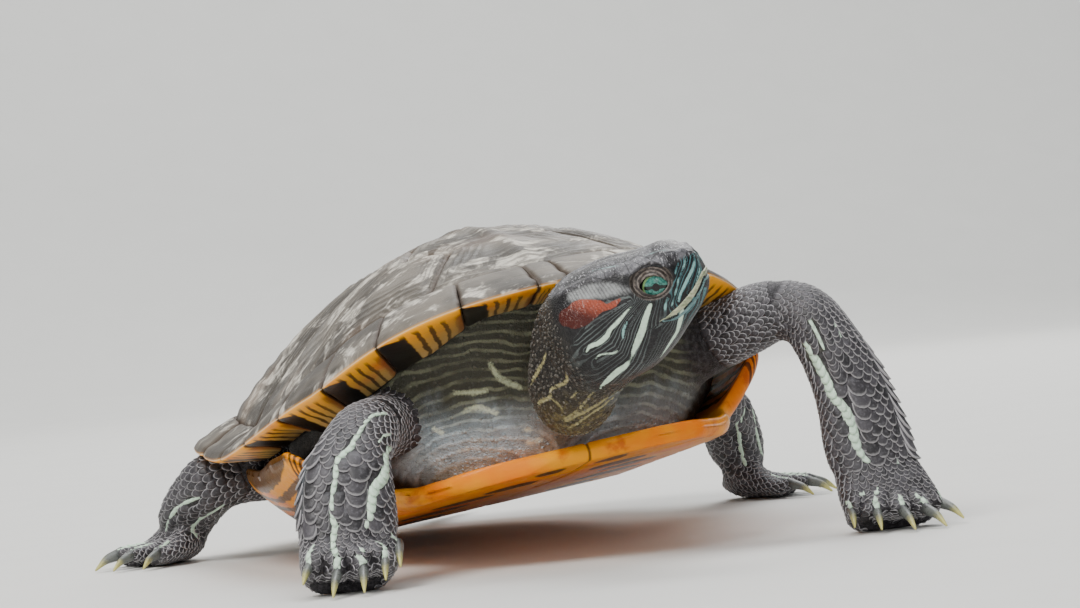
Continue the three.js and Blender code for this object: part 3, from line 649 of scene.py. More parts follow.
def ring_point(phi):
    """Point of the seam between the dome's plates and the rim's, seen from above."""
    ex, ey = edge_point(phi)
    return np.stack([CREST_X + (ex - CREST_X) * RING, ey * RING], -1)


def ring_phi_at_x(x):
    """Direction, on the left side, in which that seam reaches x."""
    low, high = 0.0, math.pi
    for _ in range(40):
        mid = (low + high) / 2
        if ring_point(mid)[0] > x:
            low = mid
        else:
            high = mid
    return low


def along_line(line, t):
    """Points of a line whose stretches each take an equal share of t."""
    line = np.asarray(line, float)
    spot = np.asarray(t) * (len(line) - 1)
    i = np.minimum(spot.astype(int), len(line) - 2)
    f = (spot - i)[:, None]
    return line[i] * (1 - f) + line[i + 1] * f


def ring_arc(start, end, steps=24):
    return ring_point(np.linspace(start, end, steps + 1))


def mirrored(line):
    return [(x, -y) for x, y in line]


def growth_share(points, centre, outline):
    """How far each point lies from a plate's first growth towards its edge, 0 to 1."""
    ray = points - centre
    share = np.zeros(len(points))
    for k in range(len(outline)):
        a = outline[k] - centre
        d = outline[(k + 1) % len(outline)] - centre - a
        cross = ray[:, 0] * d[1] - ray[:, 1] * d[0]
        safe = np.where(np.abs(cross) < 1e-9, 1e-9, cross)
        t = (a[0] * d[1] - a[1] * d[0]) / safe
        s = (a[0] * ray[:, 1] - a[1] * ray[:, 0]) / safe
        hit = (t > 0) & (s >= -1e-6) & (s <= 1 + 1e-6)
        share = np.where(hit & (share == 0), 1 / np.where(hit, t, 1.0), share)
    return clamp(share)


DOME_GRID = 59  # points across each dome plate
RIM_GRID = 41  # points along and round each rim plate
REAR_EDGE = 96  # distance of the shell's rear edge from its crest
RIM_ROUND = 36  # way round a rim plate from its upper to its lower inner edge


def dome_plate(name, side_a, side_b, growth_from, seed, keel=False):
    """One plate of the dome, with bevelled seams, growth rings and worn, uneven horn."""
    wide = DOME_GRID
    t = np.linspace(0, 1, wide)
    a, b = along_line(side_a, t), along_line(side_b, t)
    plan = (a[None] * (1 - t[:, None, None]) + b[None] * t[:, None, None]).reshape(-1, 2)
    rim = grid_rim(wide, wide)
    outline = plan[rim]
    middle = outline.mean(0)
    growth = middle + np.asarray(growth_from) * (outline.max(0) - outline.min(0)) / 2
    ring = growth_share(plan, growth, outline[::2])
    edge, _ = line_distance(plan, np.vstack([outline, outline[:1]]))
    inward = (growth - plan) / (np.linalg.norm(growth - plan, axis=1) + 1e-9)[:, None]
    plan = plan + inward * (GAP / 2 * ring**4)[:, None]
    flat = np.column_stack([plan, np.full(len(plan), seed * 3.0)])
    wave = np.sin(2 * math.pi * (ring * 7 + 0.25 * value_noise(flat, 14, seed)))
    relief = 0.17 * wave * ease((ring - 0.25) / 0.2)
    relief += 0.16 * rough_noise(flat, 5.0, seed + 3, 3) + 0.3 * value_noise(flat, 17.0, seed + 9)
    relief += 0.35 * (1 - ring**2)
    relief -= 0.95 * bump(edge, 0.75) + 0.25 * bump(edge, 2.4)
    if keel:
        relief += 1.0 * bump(plan[:, 1], 2.6) * ease((1 - ring) / 0.3)
    top = np.column_stack([plan, dome_height(plan[:, 0], plan[:, 1]) + relief])
    loop = top[rim].copy()
    loop[:, 2] -= PLATE_T - 1.2
    points = np.vstack([top, loop, loop.mean(0)])
    faces = grid_faces(wide, wide)
    first, count = len(top), len(rim)
    for k in range(count):
        m = (k + 1) % count
        faces += [[rim[m], rim[k], first + k, first + m], [first + m, first + k, first + count]]
    if np.cross(top[1] - top[0], top[wide] - top[0])[2] < 0:
        faces = [face[::-1] for face in faces]
    values = {"ring": np.append(ring, np.ones(count + 1)), "edge": np.append(edge, np.zeros(count + 1))}
    make_piece(name + "_horn", shell_to_row(points), faces, CARAPACE, (name,), values)


def dome_plates():
    """Five plates along the back and four on each side, between the solids' seams."""
    front_phi = math.asin(FRONT_HALF / 74)
    ring_front = ring_phi_at_x(ring_point(front_phi * 1.32)[0])
    ring_rear = ring_phi_at_x(REAR_CORNER_X)
    cuts = [ring_front] + [ring_phi_at_x(x) for x in COSTAL_RIM_X] + [ring_rear]
    front_corner = tuple(ring_point(ring_front))
    rear_corner = tuple(ring_point(ring_rear))
    seam = list(zip(MID_SEAM_X, MID_SEAM_HALF))
    point = list(zip(MID_POINT_X, MID_POINT_HALF))
    sides = [[front_corner, seam[0]]]
    sides += [[seam[k], point[k], seam[k + 1]] for k in range(3)]
    sides += [[seam[3], rear_corner]]
    for k, left in enumerate(sides):
        right = mirrored(left)
        name = f"vertebral_{k + 1}"
        if k == 0:
            dome_plate(name, ring_arc(-ring_front, ring_front), [right[-1], left[-1]], (-0.2, 0), 11, True)
        elif k == 4:
            rear = ring_arc(ring_rear, 2 * math.pi - ring_rear)
            dome_plate(name, [left[0], right[0]], rear, (0.0, 0), 15, True)
        else:
            dome_plate(name, right, left, (-0.45, 0), 11 + k, True)
    inner = [sides[0] + [point[0]], sides[1][1:] + [point[1]], sides[2][1:] + [point[2]],
             sides[3][1:] + [rear_corner]]
    for k in range(4):
        line = [np.array(p, float) for p in inner[k]]
        start, end = cuts[k], cuts[k + 1]
        if k == 0:
            line[0] = line[0] * 0.88 + line[1] * 0.12
            start += 0.02
        if k == 3:
            line[-1] = line[-1] * 0.85 + np.array(seam[3], float) * 0.15
            end -= 0.03
        outer = ring_arc(start, end)
        dome_plate(f"costal_left_{k + 1}", line, outer, (-0.25, -0.35), 21 + k)
        dome_plate(f"costal_right_{k + 1}", mirrored(line), mirrored(outer), (-0.25, 0.35), 31 + k)


# ---- rim plates ----


def rim_drop(phi):
    """How much lower the rim's inner underside lies, ahead of the bridge and behind it."""
    clear = clamp((np.abs(edge_point(phi)[0]) - 38) / 10)
    beside = clamp((np.abs(np.arctan2(np.sin(phi), np.cos(phi))) - 0.2) / 0.2)
    return RIM_DROP * clear * beside


def rim_section(phi):
    """Points round a rim plate at each phi, from its inner top edge over the lip to below."""
    reach = edge_reach(phi)
    low = edge_height(edge_point(phi)[0])
    inner = RING + GAP / 2 / reach
    one = np.ones_like(phi)
    deep = rim_drop(phi)

    def at(rho, lift):
        return shell_point(rho * one, phi) + np.array([0, 0, lift])

    def below(rho, drop):
        spot = shell_point(rho * one, phi)
        spot[..., 2] = low - drop
        return spot

    corners = [shell_point(inner, phi), at(0.87, 0.0), at(0.92, 0.0), at(0.965, 0.3), at(0.99, 0.35),
               at(1.0, -0.5), below(0.99, 1.3 + 0.08 * deep), below(0.955, 1.9 + 0.32 * deep),
               below(0.9, 2.5 + 0.66 * deep), below(0.86, 3.0 + 0.9 * deep)]
    last = shell_point(inner, phi)
    last[..., 2] = low - 3.2 - deep
    corners.append(last)
    return np.stack(corners, 1)


def rim_plate(name, start, end, seed):
    """One rim plate; start is its front seam."""
    wide = RIM_GRID
    phi = np.linspace(start, end, wide)
    corners = rim_section(phi)
    last = corners.shape[1] - 1
    spot = np.linspace(0, last, wide)
    grid = np.stack([catmull(spot, np.arange(last + 1), corners[c, :, axis])
                     for c in range(wide) for axis in range(3)])
    grid = grid.reshape(wide, 3, wide).transpose(0, 2, 1)
    along = np.repeat(np.linspace(0, 1, wide), wide)
    share = np.tile(spot / last, wide)
    under = ease((share - 0.46) / 0.05)
    out = np.where(share < 0.5, share / 0.5, (1 - share) / 0.5)
    plate_length = edge_reach(np.array([(start + end) / 2]))[0] * abs(end - start)
    points = grid.reshape(-1, 3)
    gap = np.minimum(along, 1 - along) * plate_length
    inner_gap = np.minimum(share, 1 - share) * RIM_ROUND
    edge = np.minimum(gap, inner_gap)
    away = unit(points - np.repeat(grid.mean(1), wide, axis=0))
    wave = np.sin(2 * math.pi * (out * 3.2 + 0.3 * value_noise(points, 9, seed)))
    relief = 0.1 * wave * (1 - under) + 0.14 * rough_noise(points, 4.5, seed + 2, 3) * (1 - 0.5 * under)
    relief -= 0.75 * bump(gap, 0.7) + 0.2 * bump(gap, 2.2)
    notch = ease((abs(start) - 1.9) / 0.5) * bump(gap, 2.2) * ease((out - 0.6) / 0.4)
    points = points + away * relief[:, None] - away * (0.9 * notch)[:, None]
    points, faces = tube(list(points.reshape(wide, wide, 3)))
    make_piece(name + "_horn", shell_to_row(points), faces, MARGINAL, (name,),
               {"along": np.append(along, [0, 1]), "out": np.append(out, [0.5, 0.5]),
                "under": np.append(under, [0.5, 0.5]), "edge": np.append(edge, [0, 0])})


def rim_plates():
    """The small front plate and twelve rim plates on each side."""

    def seam(k, sign):
        phi = math.radians(SEAMS[k])
        return phi + sign * GAP / 2 / float(edge_reach(np.array([phi]))[0])

    rim_plate("nuchal", -seam(0, -1), seam(0, -1), 40)
    for k in range(12):
        start = seam(k, 1)
        end = math.pi - GAP / 2 / REAR_EDGE if k == 11 else seam(k + 1, -1)
        rim_plate(f"marginal_left_{k + 1}", start, end, 41 + k)
        rim_plate(f"marginal_right_{k + 1}", -start, -end, 61 + k)


# ---- plastron ----

PLASTRON_T, PLASTRON_Z = 4.5, 0.2
PLASTRON_X = [88, 84, 70, 46, 41, 20, 0, -20, -38, -44, -60, -75, -86, -90]
PLASTRON_HALF = [14, 29, 42, 48, 63, 65, 65, 65, 63, 43, 38, 31, 21, 13]
BRIDGE_START, BRIDGE_WIDTH, BRIDGE_RISE = 38, 27, 17
PLASTRON_SEAMS = [(70, 10), (50, -6), (24, 4), (-12, 0), (-40, 6), (-66, -8)]
BLOTCHES = [(79, 8, 4), (60, 14, 7), (38, 22, 8), (8, 24, 9), (-26, 22, 8), (-54, 15, 7), (-78, 9, 5)]


def plastron_height(x, y):
    """Height of the belly shield's underside, rising to the bridges and to both ends."""
    front = 1.2 * clamp((x - 50) / 38) ** 2
    rear = 5 * clamp((-38 - x) / 52) ** 1.4
    rise = BRIDGE_RISE + np.maximum(edge_height(x) - edge_height(0.0), 0)
    side = rise * clamp((np.abs(y) - BRIDGE_START) / BRIDGE_WIDTH, 0, 1.1) ** 1.6
    return PLASTRON_Z + front + rear + side


def plastron_piece():
    """Plastron with both bridges: rounded edge, seams between its plates, paired blotches."""
    rows, across = 171, 131
    front, rear = PLASTRON_X[0], PLASTRON_X[-1]
    x = np.linspace(front - 0.1, rear + 0.1, rows)
    half = np.interp(-x, -np.array(PLASTRON_X, float), PLASTRON_HALF)
    half = np.convolve(np.pad(half, 3, mode="edge"), np.ones(7) / 7, mode="valid")
    half = half * clamp(np.minimum(front - x, x - rear) / 3.0, 0.12, 1.0) ** 0.25
    s = np.linspace(-1, 1, across)
    s = np.sign(s) * (1 - (1 - np.abs(s)) ** 1.35)
    gx = np.repeat(x, across)
    gy = (half[:, None] * s[None]).ravel()
    rim = np.minimum(np.repeat(half, across) - np.abs(gy), np.minimum(front - gx, gx - rear))
    slope = 1 + 0.35 * clamp((np.abs(gy) - BRIDGE_START) / BRIDGE_WIDTH)
    thick = PLASTRON_T * slope
    round_off = (1 - np.sqrt(clamp(1 - (1 - clamp(rim / 2.2)) ** 2))) * thick / 2
    seam_edge = np.abs(gy + 1.2 * value_noise(np.column_stack([gx, gx * 0, gx * 0]), 14, 3))
    for x0, bend in PLASTRON_SEAMS:
        line = x0 + bend * (np.abs(gy) / 40) ** 1.5
        seam_edge = np.minimum(seam_edge, np.abs(gx - line))
    spot = np.column_stack([gx, gy, gx * 0])
    relief = 0.35 * bump(seam_edge, 0.45) - 0.06 * rough_noise(spot, 5, 5, 3)
    middle = plastron_height(gx, gy)
    bottom = np.column_stack([gx, gy, middle + round_off + relief])
    top = np.column_stack([gx, gy, middle + thick - round_off - relief])
    points = np.vstack([bottom, top])
    faces = facing_out(points, sheet_faces(rows, across))
    blotch = np.full(len(gx), 9.0)
    for bx, by, size in BLOTCHES:
        blotch = np.minimum(blotch, np.hypot((gx - bx) / 1.15, np.abs(gy) - by) - size)
    bridge = clamp((np.abs(gy) - 46) / 3.0, 0, 6) * ease((44 - gx) / 6)
    values = {"edge": np.tile(seam_edge, 2), "blotch": np.append(blotch, np.full(len(gx), 9.0)),
              "bridge": np.tile(bridge, 2)}
    make_piece("plastron_horn", shell_to_row(points), faces, PLASTRON,
               ("plastron",), values)


# ---- flesh: the same stations as the solids, [x, y, z, half-width, half-depth, side] ----

COAT = 0.35
HEAD_STATIONS = [
    [0.6, 3.2, 6.2, -1.8], [-1.2, 5.2, 9.4, -3.8], [-4.2, 7.6, 11.6, -6.0], [-8.0, 9.5, 12.1, -8.1],
    [-13.0, 11.4, 12.8, -11.0], [-19.0, 13.3, 14.1, -13.3], [-26.0, 14.6, 14.5, -14.1],
    [-32.0, 14.2, 13.9, -13.8], [-36.5, 12.0, 11.2, -12.8], [-39.0, 8.5, 7.0, -10.8],
]
NECK = [
    [-0.5, -66, 44, 8.5, 13], [-1.6, -76, 43.5, 9.1, 13.2], [-3, -86, 43.3, 10.2, 13.2],
    [-4, -94, 43.8, 10.9, 13], [-4, -102, 46.5, 10.8, 12, [1, 0.25, 0]],
    [0, -108, 52, 10, 10.5, [1, 0.6, 0]],
]
NAPE = [
    [-4.2, -99, 43, 10.9, 10, [1, 0.25, 0]], [-4.8, -101, 49, 11.0, 9, [1, 0.25, 0]],
    [-4.6, -103, 55, 10.9, 8, [1, 0.25, 0]], [-3.8, -105, 60, 9.6, 7, [1, 0.25, 0]],
    [-3, -106, 62.5, 6.5, 5, [1, 0.25, 0]],
]
TAIL = [
    [-3, 76, 26, 9, 8], [-3, 84, 24, 9, 8], [-3, 96, 19, 7, 6.5], [-1, 106, 14, 5, 4.6],
    [3, 116, 9.5, 3.2, 3], [9, 125, 6, 1.9, 1.8], [15, 131, 4, 0.8, 0.8],
]
LEGS = {
    "right_fore": {
        "upper": [[-43, -50, 34, 9, 9], [-45, -60, 36, 8.6, 8.6], [-47.5, -70, 38, 7.4, 7.4]],
        "lower": [[-46, -70, 40.5, 4.6, 5], [-49, -73.5, 38, 7.8, 7], [-55, -80, 32, 9.0, 7.2, [1, 0, 0.2]],
                  [-58.5, -86, 25, 11.2, 7, [1, 0, 0.1]], [-60, -90.5, 17, 12, 6.6],
                  [-60.5, -93, 12.5, 11.4, 6]],
        "palm": [[-60.5, -92, 12, 11.4, 6.2], [-61, -95, 8.2, 12, 6.4], [-61.6, -98.5, 5.6, 11.6, 6.7],
                 [-62, -101.5, 4.6, 9.6, 5.8]],
        "toes": [[[-66, -95, 8], [-71.0, -98.5, 7.4], [-74.0, -105, 4.0], 2.4],
                 [[-63, -96, 6.5], [-65.6, -103, 5.2], [-68.2, -110.5, 0.8], 2.8],
                 [[-61, -96, 6.5], [-59.5, -103.5, 5.6], [-61.0, -111, 1.2], 2.8],
                 [[-57, -95, 8], [-53.8, -101, 7.6], [-55.2, -107.5, 3.2], 2.5],
                 [[-55, -94, 10], [-49.6, -96.5, 9.6], [-50.6, -102.5, 5.4], 2.2]],
    },
    "left_fore": {
        "upper": [[33, -50, 46, 10, 10, [0, 1, 0]], [44, -60, 51, 9.4, 9.2, [0, 1, 0]],
                  [57, -69, 57, 8.2, 7.8, [0, 1, 0]]],
        "lower": [[55, -68, 59, 5, 5, [0.5, 1, 0]], [60.5, -71, 56, 8.0, 7.4, [0.5, 1, 0]],
                  [66, -76, 45.5, 8.6, 7.2, [1, 0.4, 0]], [69.5, -80, 33, 9.8, 6.8, [1, 0.2, 0]],
                  [71, -83, 21, 11, 6.4], [72, -85, 15, 10.4, 6]],
        "palm": [[72, -84.5, 15, 10.6, 6.1], [73, -88, 9, 12, 6.2], [74, -92, 4.8, 12.2, 5.8],
                 [74.5, -95.5, 2.8, 11, 4]],
        "toes": [[[69, -88, 6.5], [63.0, -91, 6.2], [61.5, -97, 2.2], 2.3],
                 [[71, -89, 6], [67.8, -95.5, 5.4], [66.4, -102.5, 1.4], 2.6],
                 [[74, -90, 5], [73.8, -98, 4.8], [73.8, -105.5, 0.8], 2.8],
                 [[77, -90, 5], [80.0, -97, 4.6], [82.2, -104, 0.7], 2.8],
                 [[80, -89, 6], [85.4, -92, 5.4], [88.8, -98, 1.6], 2.5]],
    },
    "right_hind": {
        "upper": [[-38, 58, 24, 11, 10, [0, 1, 0]], [-52, 50, 25, 11, 10, [0, 1, 0]],
                  [-68, 42, 24, 9.5, 9, [0, 1, 0]]],
        "lower": [[-66, 41, 25, 5, 5, [0, 1, 0]], [-72, 43, 23, 8.6, 8.4, [0.6, 1, 0]],
                  [-77, 51, 18, 8.4, 7.6, [1, 0.2, 0]], [-80, 58, 12.5, 8.2, 6.6, [1, 0, 0]],
                  [-81, 61, 9, 7.4, 6, [1, 0, 0]]],
        "palm": [[-79.5, 62, 8.4, 7.6, 7, [0, 1, 0]], [-83, 60.5, 6, 10, 6.4, [0, 1, 0]],
                 [-88, 58, 3.8, 12.5, 4.2, [0, 1, 0]], [-94, 55, 2.4, 13, 2.8, [0, 1, 0]]],
        "toes": [[[-84, 54, 4.5], [-91.0, 44, 4], [-95.5, 39, 0.8], 2.5],
                 [[-87, 56, 4.5], [-97.5, 48.5, 4], [-103, 45, 0.7], 2.7],
                 [[-88, 58, 4.5], [-100.5, 55, 4], [-107, 53.5, 0.7], 2.7],
                 [[-87, 60, 4.5], [-99.5, 62.5, 4], [-105.5, 63.5, 0.8], 2.6],
                 [[-85, 62, 4], [-94.0, 68, 3], [-97.5, 70.5, 1.2], 2.3]],
    },
    "left_hind": {
        "upper": [[34, 60, 32, 11, 10, [0, 1, 0]], [49, 53, 33, 11, 10, [0, 1, 0]],
                  [65, 45, 32, 9.5, 9, [0, 1, 0]]],
        "lower": [[63, 44, 33, 5, 5, [0, 1, 0]], [69, 46, 31, 8.6, 8.4, [-0.6, 1, 0]],
                  [75, 54, 24, 8.4, 7.6, [1, -0.2, 0]], [79, 61, 16, 8.2, 6.6, [1, 0, 0]],
                  [80.5, 64, 11, 7.4, 6, [1, 0, 0]]],
        "palm": [[79, 65, 10, 7.8, 7.4, [0, 1, 0]], [82.5, 63.5, 6.6, 10, 6.6, [0, 1, 0]],
                 [87.5, 61, 3.8, 12.5, 4.2, [0, 1, 0]], [93.5, 58, 2.4, 13, 2.8, [0, 1, 0]]],
        "toes": [[[83.5, 57, 4.5], [90.5, 47, 4], [95.0, 42, 0.8], 2.5],
                 [[86.5, 59, 4.5], [97.0, 51.5, 4], [102.5, 48, 0.7], 2.7],
                 [[87.5, 61, 4.5], [100.0, 58, 4], [106.5, 56.5, 0.7], 2.7],
                 [[86.5, 63, 4.5], [99.0, 65.5, 4], [105.0, 66.5, 0.8], 2.6],
                 [[84.5, 65, 4], [93.5, 71, 3], [97.0, 73.5, 1.2], 2.3]],
    },
}


class Loft:
    """A smooth limb through stations, with its own coordinates: along, around and off it."""

    def __init__(self, stations, power=2.2, per_span=6, shrink=COAT, sole=None):
        stations = [list(s[:5]) + list(s[5] if len(s) > 5 else [1, 0, 0]) for s in stations]
        table = np.array(stations, float)
        count = len(table)
        spot = np.linspace(0, count - 1, (count - 1) * per_span + 1)
        rows = np.stack([catmull(spot, np.arange(count), table[:, k]) for k in range(8)], 1)
        self.centre = rows[:, :3] + CENTRE_SHIFT
        self.half = np.maximum(rows[:, 3:5] - shrink, 0.3)
        self.tangent = unit(np.gradient(self.centre, axis=0))
        side = rows[:, 5:8]
        side = side - self.tangent * np.sum(side * self.tangent, 1, keepdims=True)
        self.side = unit(side)
        self.over = np.cross(self.side, self.tangent)
        self.power = power
        self.sole = sole
        self.length = run_length(self.centre)

    def point(self, s, angle, lift=0.0):
        """Points at a length s along and an angle around, lifted off the surface."""
        s = np.asarray(s, float)

        def at(rows):
            return np.stack([np.interp(s, self.length, rows[:, k]) for k in range(rows.shape[1])], -1)

        c, d = np.cos(angle), np.sin(angle)
        half = at(self.half) + np.asarray(lift)[..., None]
        across = half[..., 0] * np.sign(c) * np.abs(c) ** (2 / self.power)
        over = half[..., 1] * np.sign(d) * np.abs(d) ** (2 / self.power)
        p = at(self.centre) + at(self.side) * across[..., None] + at(self.over) * over[..., None]
        if self.sole is not None:
            p[..., 2] = np.maximum(p[..., 2], self.sole)
        return p

    def mesh(self, around=40):
        angle = loop_angles(around)
        return tube([self.point(np.full(around, s), angle) for s in self.length])


def toe_stations(toe):
    """Stations of a toe's loft, up to the root of its claw."""
    root, base, _, half = toe
    return [list(root) + [half * 1.15, half * 1.05], list(base) + [half * 0.8, half * 0.8]]


HEAD_POWER = 2.6  # 2 is an ellipse, larger is squarer


def head_profile(x):
    """Half-width, top and bottom of the head at x, back from the beak's tip."""
    table = np.array(HEAD_STATIONS)[::-1]
    return [catmull(x, table[:, 0], table[:, k]) for k in (1, 2, 3)]


def head_mesh():
    """The head's plain shape, a tube through rounded sections."""
    around = 72
    c, d = [np.sign(q) * np.abs(q) ** (2 / HEAD_POWER)
            for q in (np.cos(loop_angles(around)), np.sin(loop_angles(around)))]
    rings = []
    for x in np.concatenate([[0.6, 0.1, -0.5], np.linspace(-1.2, -39, 64)]):
        half, top, bottom = [float(v) - 0.1 for v in head_profile(x)]
        bottom += 0.2
        z = (top + bottom) / 2 + (top - bottom) / 2 * d
        rings.append(np.column_stack([np.full(around, x), half * c, z]))
    points, faces = tube(rings)
    return head_to_row(points), faces


def collar_mesh(start, end, count):
    """A closed crescent of the body just inside the shell, between two directions."""
    phi = np.linspace(math.radians(start), math.radians(end), count)
    one = np.ones_like(phi)
    ahead = np.cos(phi) ** 2
    floor = PLASTRON_Z + PLASTRON_T + GAP
    edge = edge_height(edge_point(phi)[0])

    def level(rho, height):
        p = shell_point(rho * one, phi)
        p[:, 2] = height
        return p

    def under_dome(rho):
        return shell_point(rho * one, phi) - [0, 0, PLATE_T + 1.1]

    rings = [level(0.5 + 0.2 * ahead, floor - 0.3), level(0.6 + 0.17 * ahead, floor + 0.2),
             level(0.67 + 0.125 * ahead, floor + 3.4), level(0.765 + 0.047 * ahead, floor + 9.5),
             level(0.815, edge - 8), under_dome(0.825), under_dome(0.8), level(0.7, edge + 2)]
    points = np.stack(rings, 1).reshape(-1, 3)
    return shell_to_row(points), facing_out(points, flat_ended_faces(count, len(rings)))


EYE_AT = np.array([-9.8, 6.0, 4.7])
EYE_R = 4.2
EYE_OUT = unit(np.array([0.26, 0.955, 0.14]))
EYE_TILT = -20.0
GAZE = (0.0, -1.05)
CORNEA = 0.16  # how far the front of the eye stands out
LID_HALF = (3.3, 2.15)
LID_SHIFT = (-0.5, -0.55)
ORBIT_HALF = (5.0, 4.2)
ORBIT_SHIFT = (-0.95, 0.25)
MOUTH = [(3, 0.9), (0.6, 0.55), (0, 0.2), (-1.1, -0.9), (-2.5, -1.95), (-4.1, -2.85), (-6, -3.5), (-8, -3.85),
         (-9.7, -3.75), (-11.7, -3.45)]
RIDGE = [(-1.2, 3.4, 8.4), (-4.6, 5.8, 9.7), (-8, 6.7, 11), (-14, 8.3, 12), (-21, 9.4, 12.5),
         (-29, 9.6, 12.2)]


def eye_axes(side):
    """Outward, forward and upward directions of an eye's opening, in the head's frame."""
    out = EYE_OUT * np.array([1, side, 1])
    ahead = np.array([1.0, 0, 0]) - out * out[0]
    ahead = ahead / np.linalg.norm(ahead)
    up = np.cross(ahead, out) * (1 if side < 0 else -1)
    up = up if up[2] > 0 else -up
    t = math.radians(EYE_TILT)
    return out, ahead * math.cos(t) + up * math.sin(t), up * math.cos(t) - ahead * math.sin(t)


def eye_coordinates(h, side):
    """Opening radius, orbit radius, height above the middle, depth and distance from the axis."""
    out, ahead, up = eye_axes(side)
    d = h - EYE_AT * np.array([1, side, 1])
    depth, u, v = d @ out, d @ ahead, d @ up
    a, b = (u - LID_SHIFT[0]) / LID_HALF[0], (v - LID_SHIFT[1]) / LID_HALF[1]
    opening = np.sqrt(a**2 + np.abs(b) ** 1.5)
    orbit = np.hypot((u - ORBIT_SHIFT[0]) / ORBIT_HALF[0], (v - ORBIT_SHIFT[1]) / ORBIT_HALF[1])
    return opening, orbit, v, depth, np.hypot(u, v)


def in_head(h, back):
    """Which points, in the head's frame, are part of the head."""
    ahead = (h[:, 0] > back) & (h[:, 0] < 4)
    return ahead & (np.abs(h[:, 1]) < 17.5) & (h[:, 2] > -15) & (h[:, 2] < 18)


def head_relief(p, ay, folded):
    """How far the head's skin moves outward; each feature sits at [x, z] in the head's frame."""
    x, z = p[:, 0], p[:, 2]

    def spot(at_x, at_z, long, tall, from_side):
        return bump(np.hypot((x - at_x) / long, (z - at_z) / tall), 1.0) * ease(ay / from_side)

    lift = 0.75 * bump(line_distance(folded, RIDGE)[0], 1.4)
    # Hollow before the eye, hollow behind it, and the cheek.
    lift += -0.55 * spot(-3.6, 5.2, 2.2, 2.6, 4) - 0.5 * spot(-18, 7.5, 3.6, 3.2, 6)
    lift += 0.5 * spot(-27, 4.5, 6, 4.5, 8)
    crown = ease((z - 9) / 3) * ease((6 - ay) / 3)
    lift -= 0.9 * bump(x + 2.9, 1.5) * ease((z - 6) / 3) * ease((6.5 - ay) / 3)
    lift += crown * (0.25 * bump(x + 7.0, 2.4) - 0.25 * bump(ay, 1.2) * ease((-6 - x) / 4))
    # Mouth line, its corner and the hollow under the upper jaw.
    gap, _ = line_distance(p * np.array([1, 0, 1]), [(at, 0, high) for at, high in MOUTH])
    jaws = ease((x + 13.2) / 1.6)
    lift -= jaws * (0.55 * bump(gap, 0.32) + 0.3 * ease((mouth_height(x) - z) / 0.5) * bump(gap, 3.4))
    lift -= 0.35 * spot(-12.8, -3.9, 1.8, 1.1, 4)
    nostril = np.sqrt((ay - 2.0) ** 2 + (z - 6.3) ** 2)
    front = ease((x + 1.6) / 0.8)
    return lift + front * (0.22 * bump(nostril - 0.95, 0.35) - 0.95 * ease((0.72 - nostril) / 0.3))


def shape_lids(p, side):
    """Moves the skin round one eye: an opening, folded lids and the rim of the orbit."""
    opening, orbit, v, depth, flat_gap = eye_coordinates(p, side)
    ball = np.sqrt(np.maximum(EYE_R**2 - flat_gap**2, 0.5))
    lid = ball + 0.4 + 0.2 * ease(v / 2.0)
    lid += 0.2 * bump(opening - 1.2, 0.12) - 0.26 * bump(opening - 1.46, 0.08)
    lid += (0.22 * bump(opening - 1.66, 0.1) - 0.24 * bump(opening - 1.88, 0.08)) * ease((v + 1) / 2)
    lid = np.maximum(lid, depth - 0.75)
    share = ease((orbit - 0.84) / 0.16)
    rim = 0.3 * bump(orbit - 1.06, 0.13) - 0.32 * bump(orbit - 0.86, 0.06)
    rim += (0.55 * bump(orbit - 1.1, 0.2) - 0.2 * bump(orbit - 0.7, 0.06)) * ease((v + 0.6) / 3.2)
    target = lid * (1 - share) + depth * share + rim * ease((opening - 1.1) / 0.2)
    sunk = ease((1.0 - opening) / 0.06)
    target = target * (1 - sunk) + (ball - 1.1) * sunk
    target = np.where(depth > 0, target, depth)
    return p + eye_axes(side)[0] * (target - depth)[:, None]


def shape_head(points):
    """Moves the head's skin: ridges over the eyes, lids, nostrils, mouth line and cheeks."""
    h = row_to_head(points)
    near = in_head(h, -44)
    p = h[near]
    ay = np.abs(p[:, 1])
    folded = np.column_stack([p[:, 0], ay, p[:, 2]])
    ahead = np.where(p[:, 0] > -4, 0.25 * (p[:, 0] + 4), 0.0) * 0.3
    outward = unit(np.column_stack([ahead, p[:, 1] / 9, (p[:, 2] - 1) / 9]) + 1e-9)
    moved = p + outward * head_relief(p, ay, folded)[:, None]
    for side in (-1.0, 1.0):
        mine = ((p[:, 1] < 0) == (side < 0)) & (np.linalg.norm(folded - EYE_AT, axis=1) < 13)
        moved[mine] = shape_lids(moved[mine], side)
    h[near] = moved
    return head_to_row(h)


def mouth_height(x):
    line = np.array(MOUTH, float)[::-1]
    return np.interp(x, line[:, 0], line[:, 1])


def worked_mesh(piece):
    """The mesh that an object's modifiers give; the object itself goes."""
    view = bpy.context.evaluated_depsgraph_get()
    mesh = bpy.data.meshes.new_from_object(piece.evaluated_get(view))
    bpy.data.objects.remove(piece)
    return mesh


def mesh_arrays(mesh):
    return gather(mesh.vertices, "co") / MM


def mesh_edges(mesh):
    return gather(mesh.edges, "vertices", 2, np.int64)


def smooth_points(points, edges, rounds, share):
    """Laplacian smoothing; share is one number or one for each point."""
    count = np.bincount(edges.ravel(), minlength=len(points)).astype(float)[:, None]
    share = np.asarray(share, float)
    share = share[:, None] if share.ndim else share
    for _ in range(rounds):
        total = np.zeros_like(points)
        for axis in range(3):
            total[:, axis] = np.bincount(edges[:, 0], points[edges[:, 1], axis], len(points))
            total[:, axis] += np.bincount(edges[:, 1], points[edges[:, 0], axis], len(points))
        points = points + share * (total / count - points)
    return points


def point_normals(points, mesh):
    set_points(mesh, points)
    return gather(mesh.vertices, "normal")


def set_points(mesh, points):
    mesh.vertices.foreach_set("co", (points * MM).ravel())
    mesh.update()


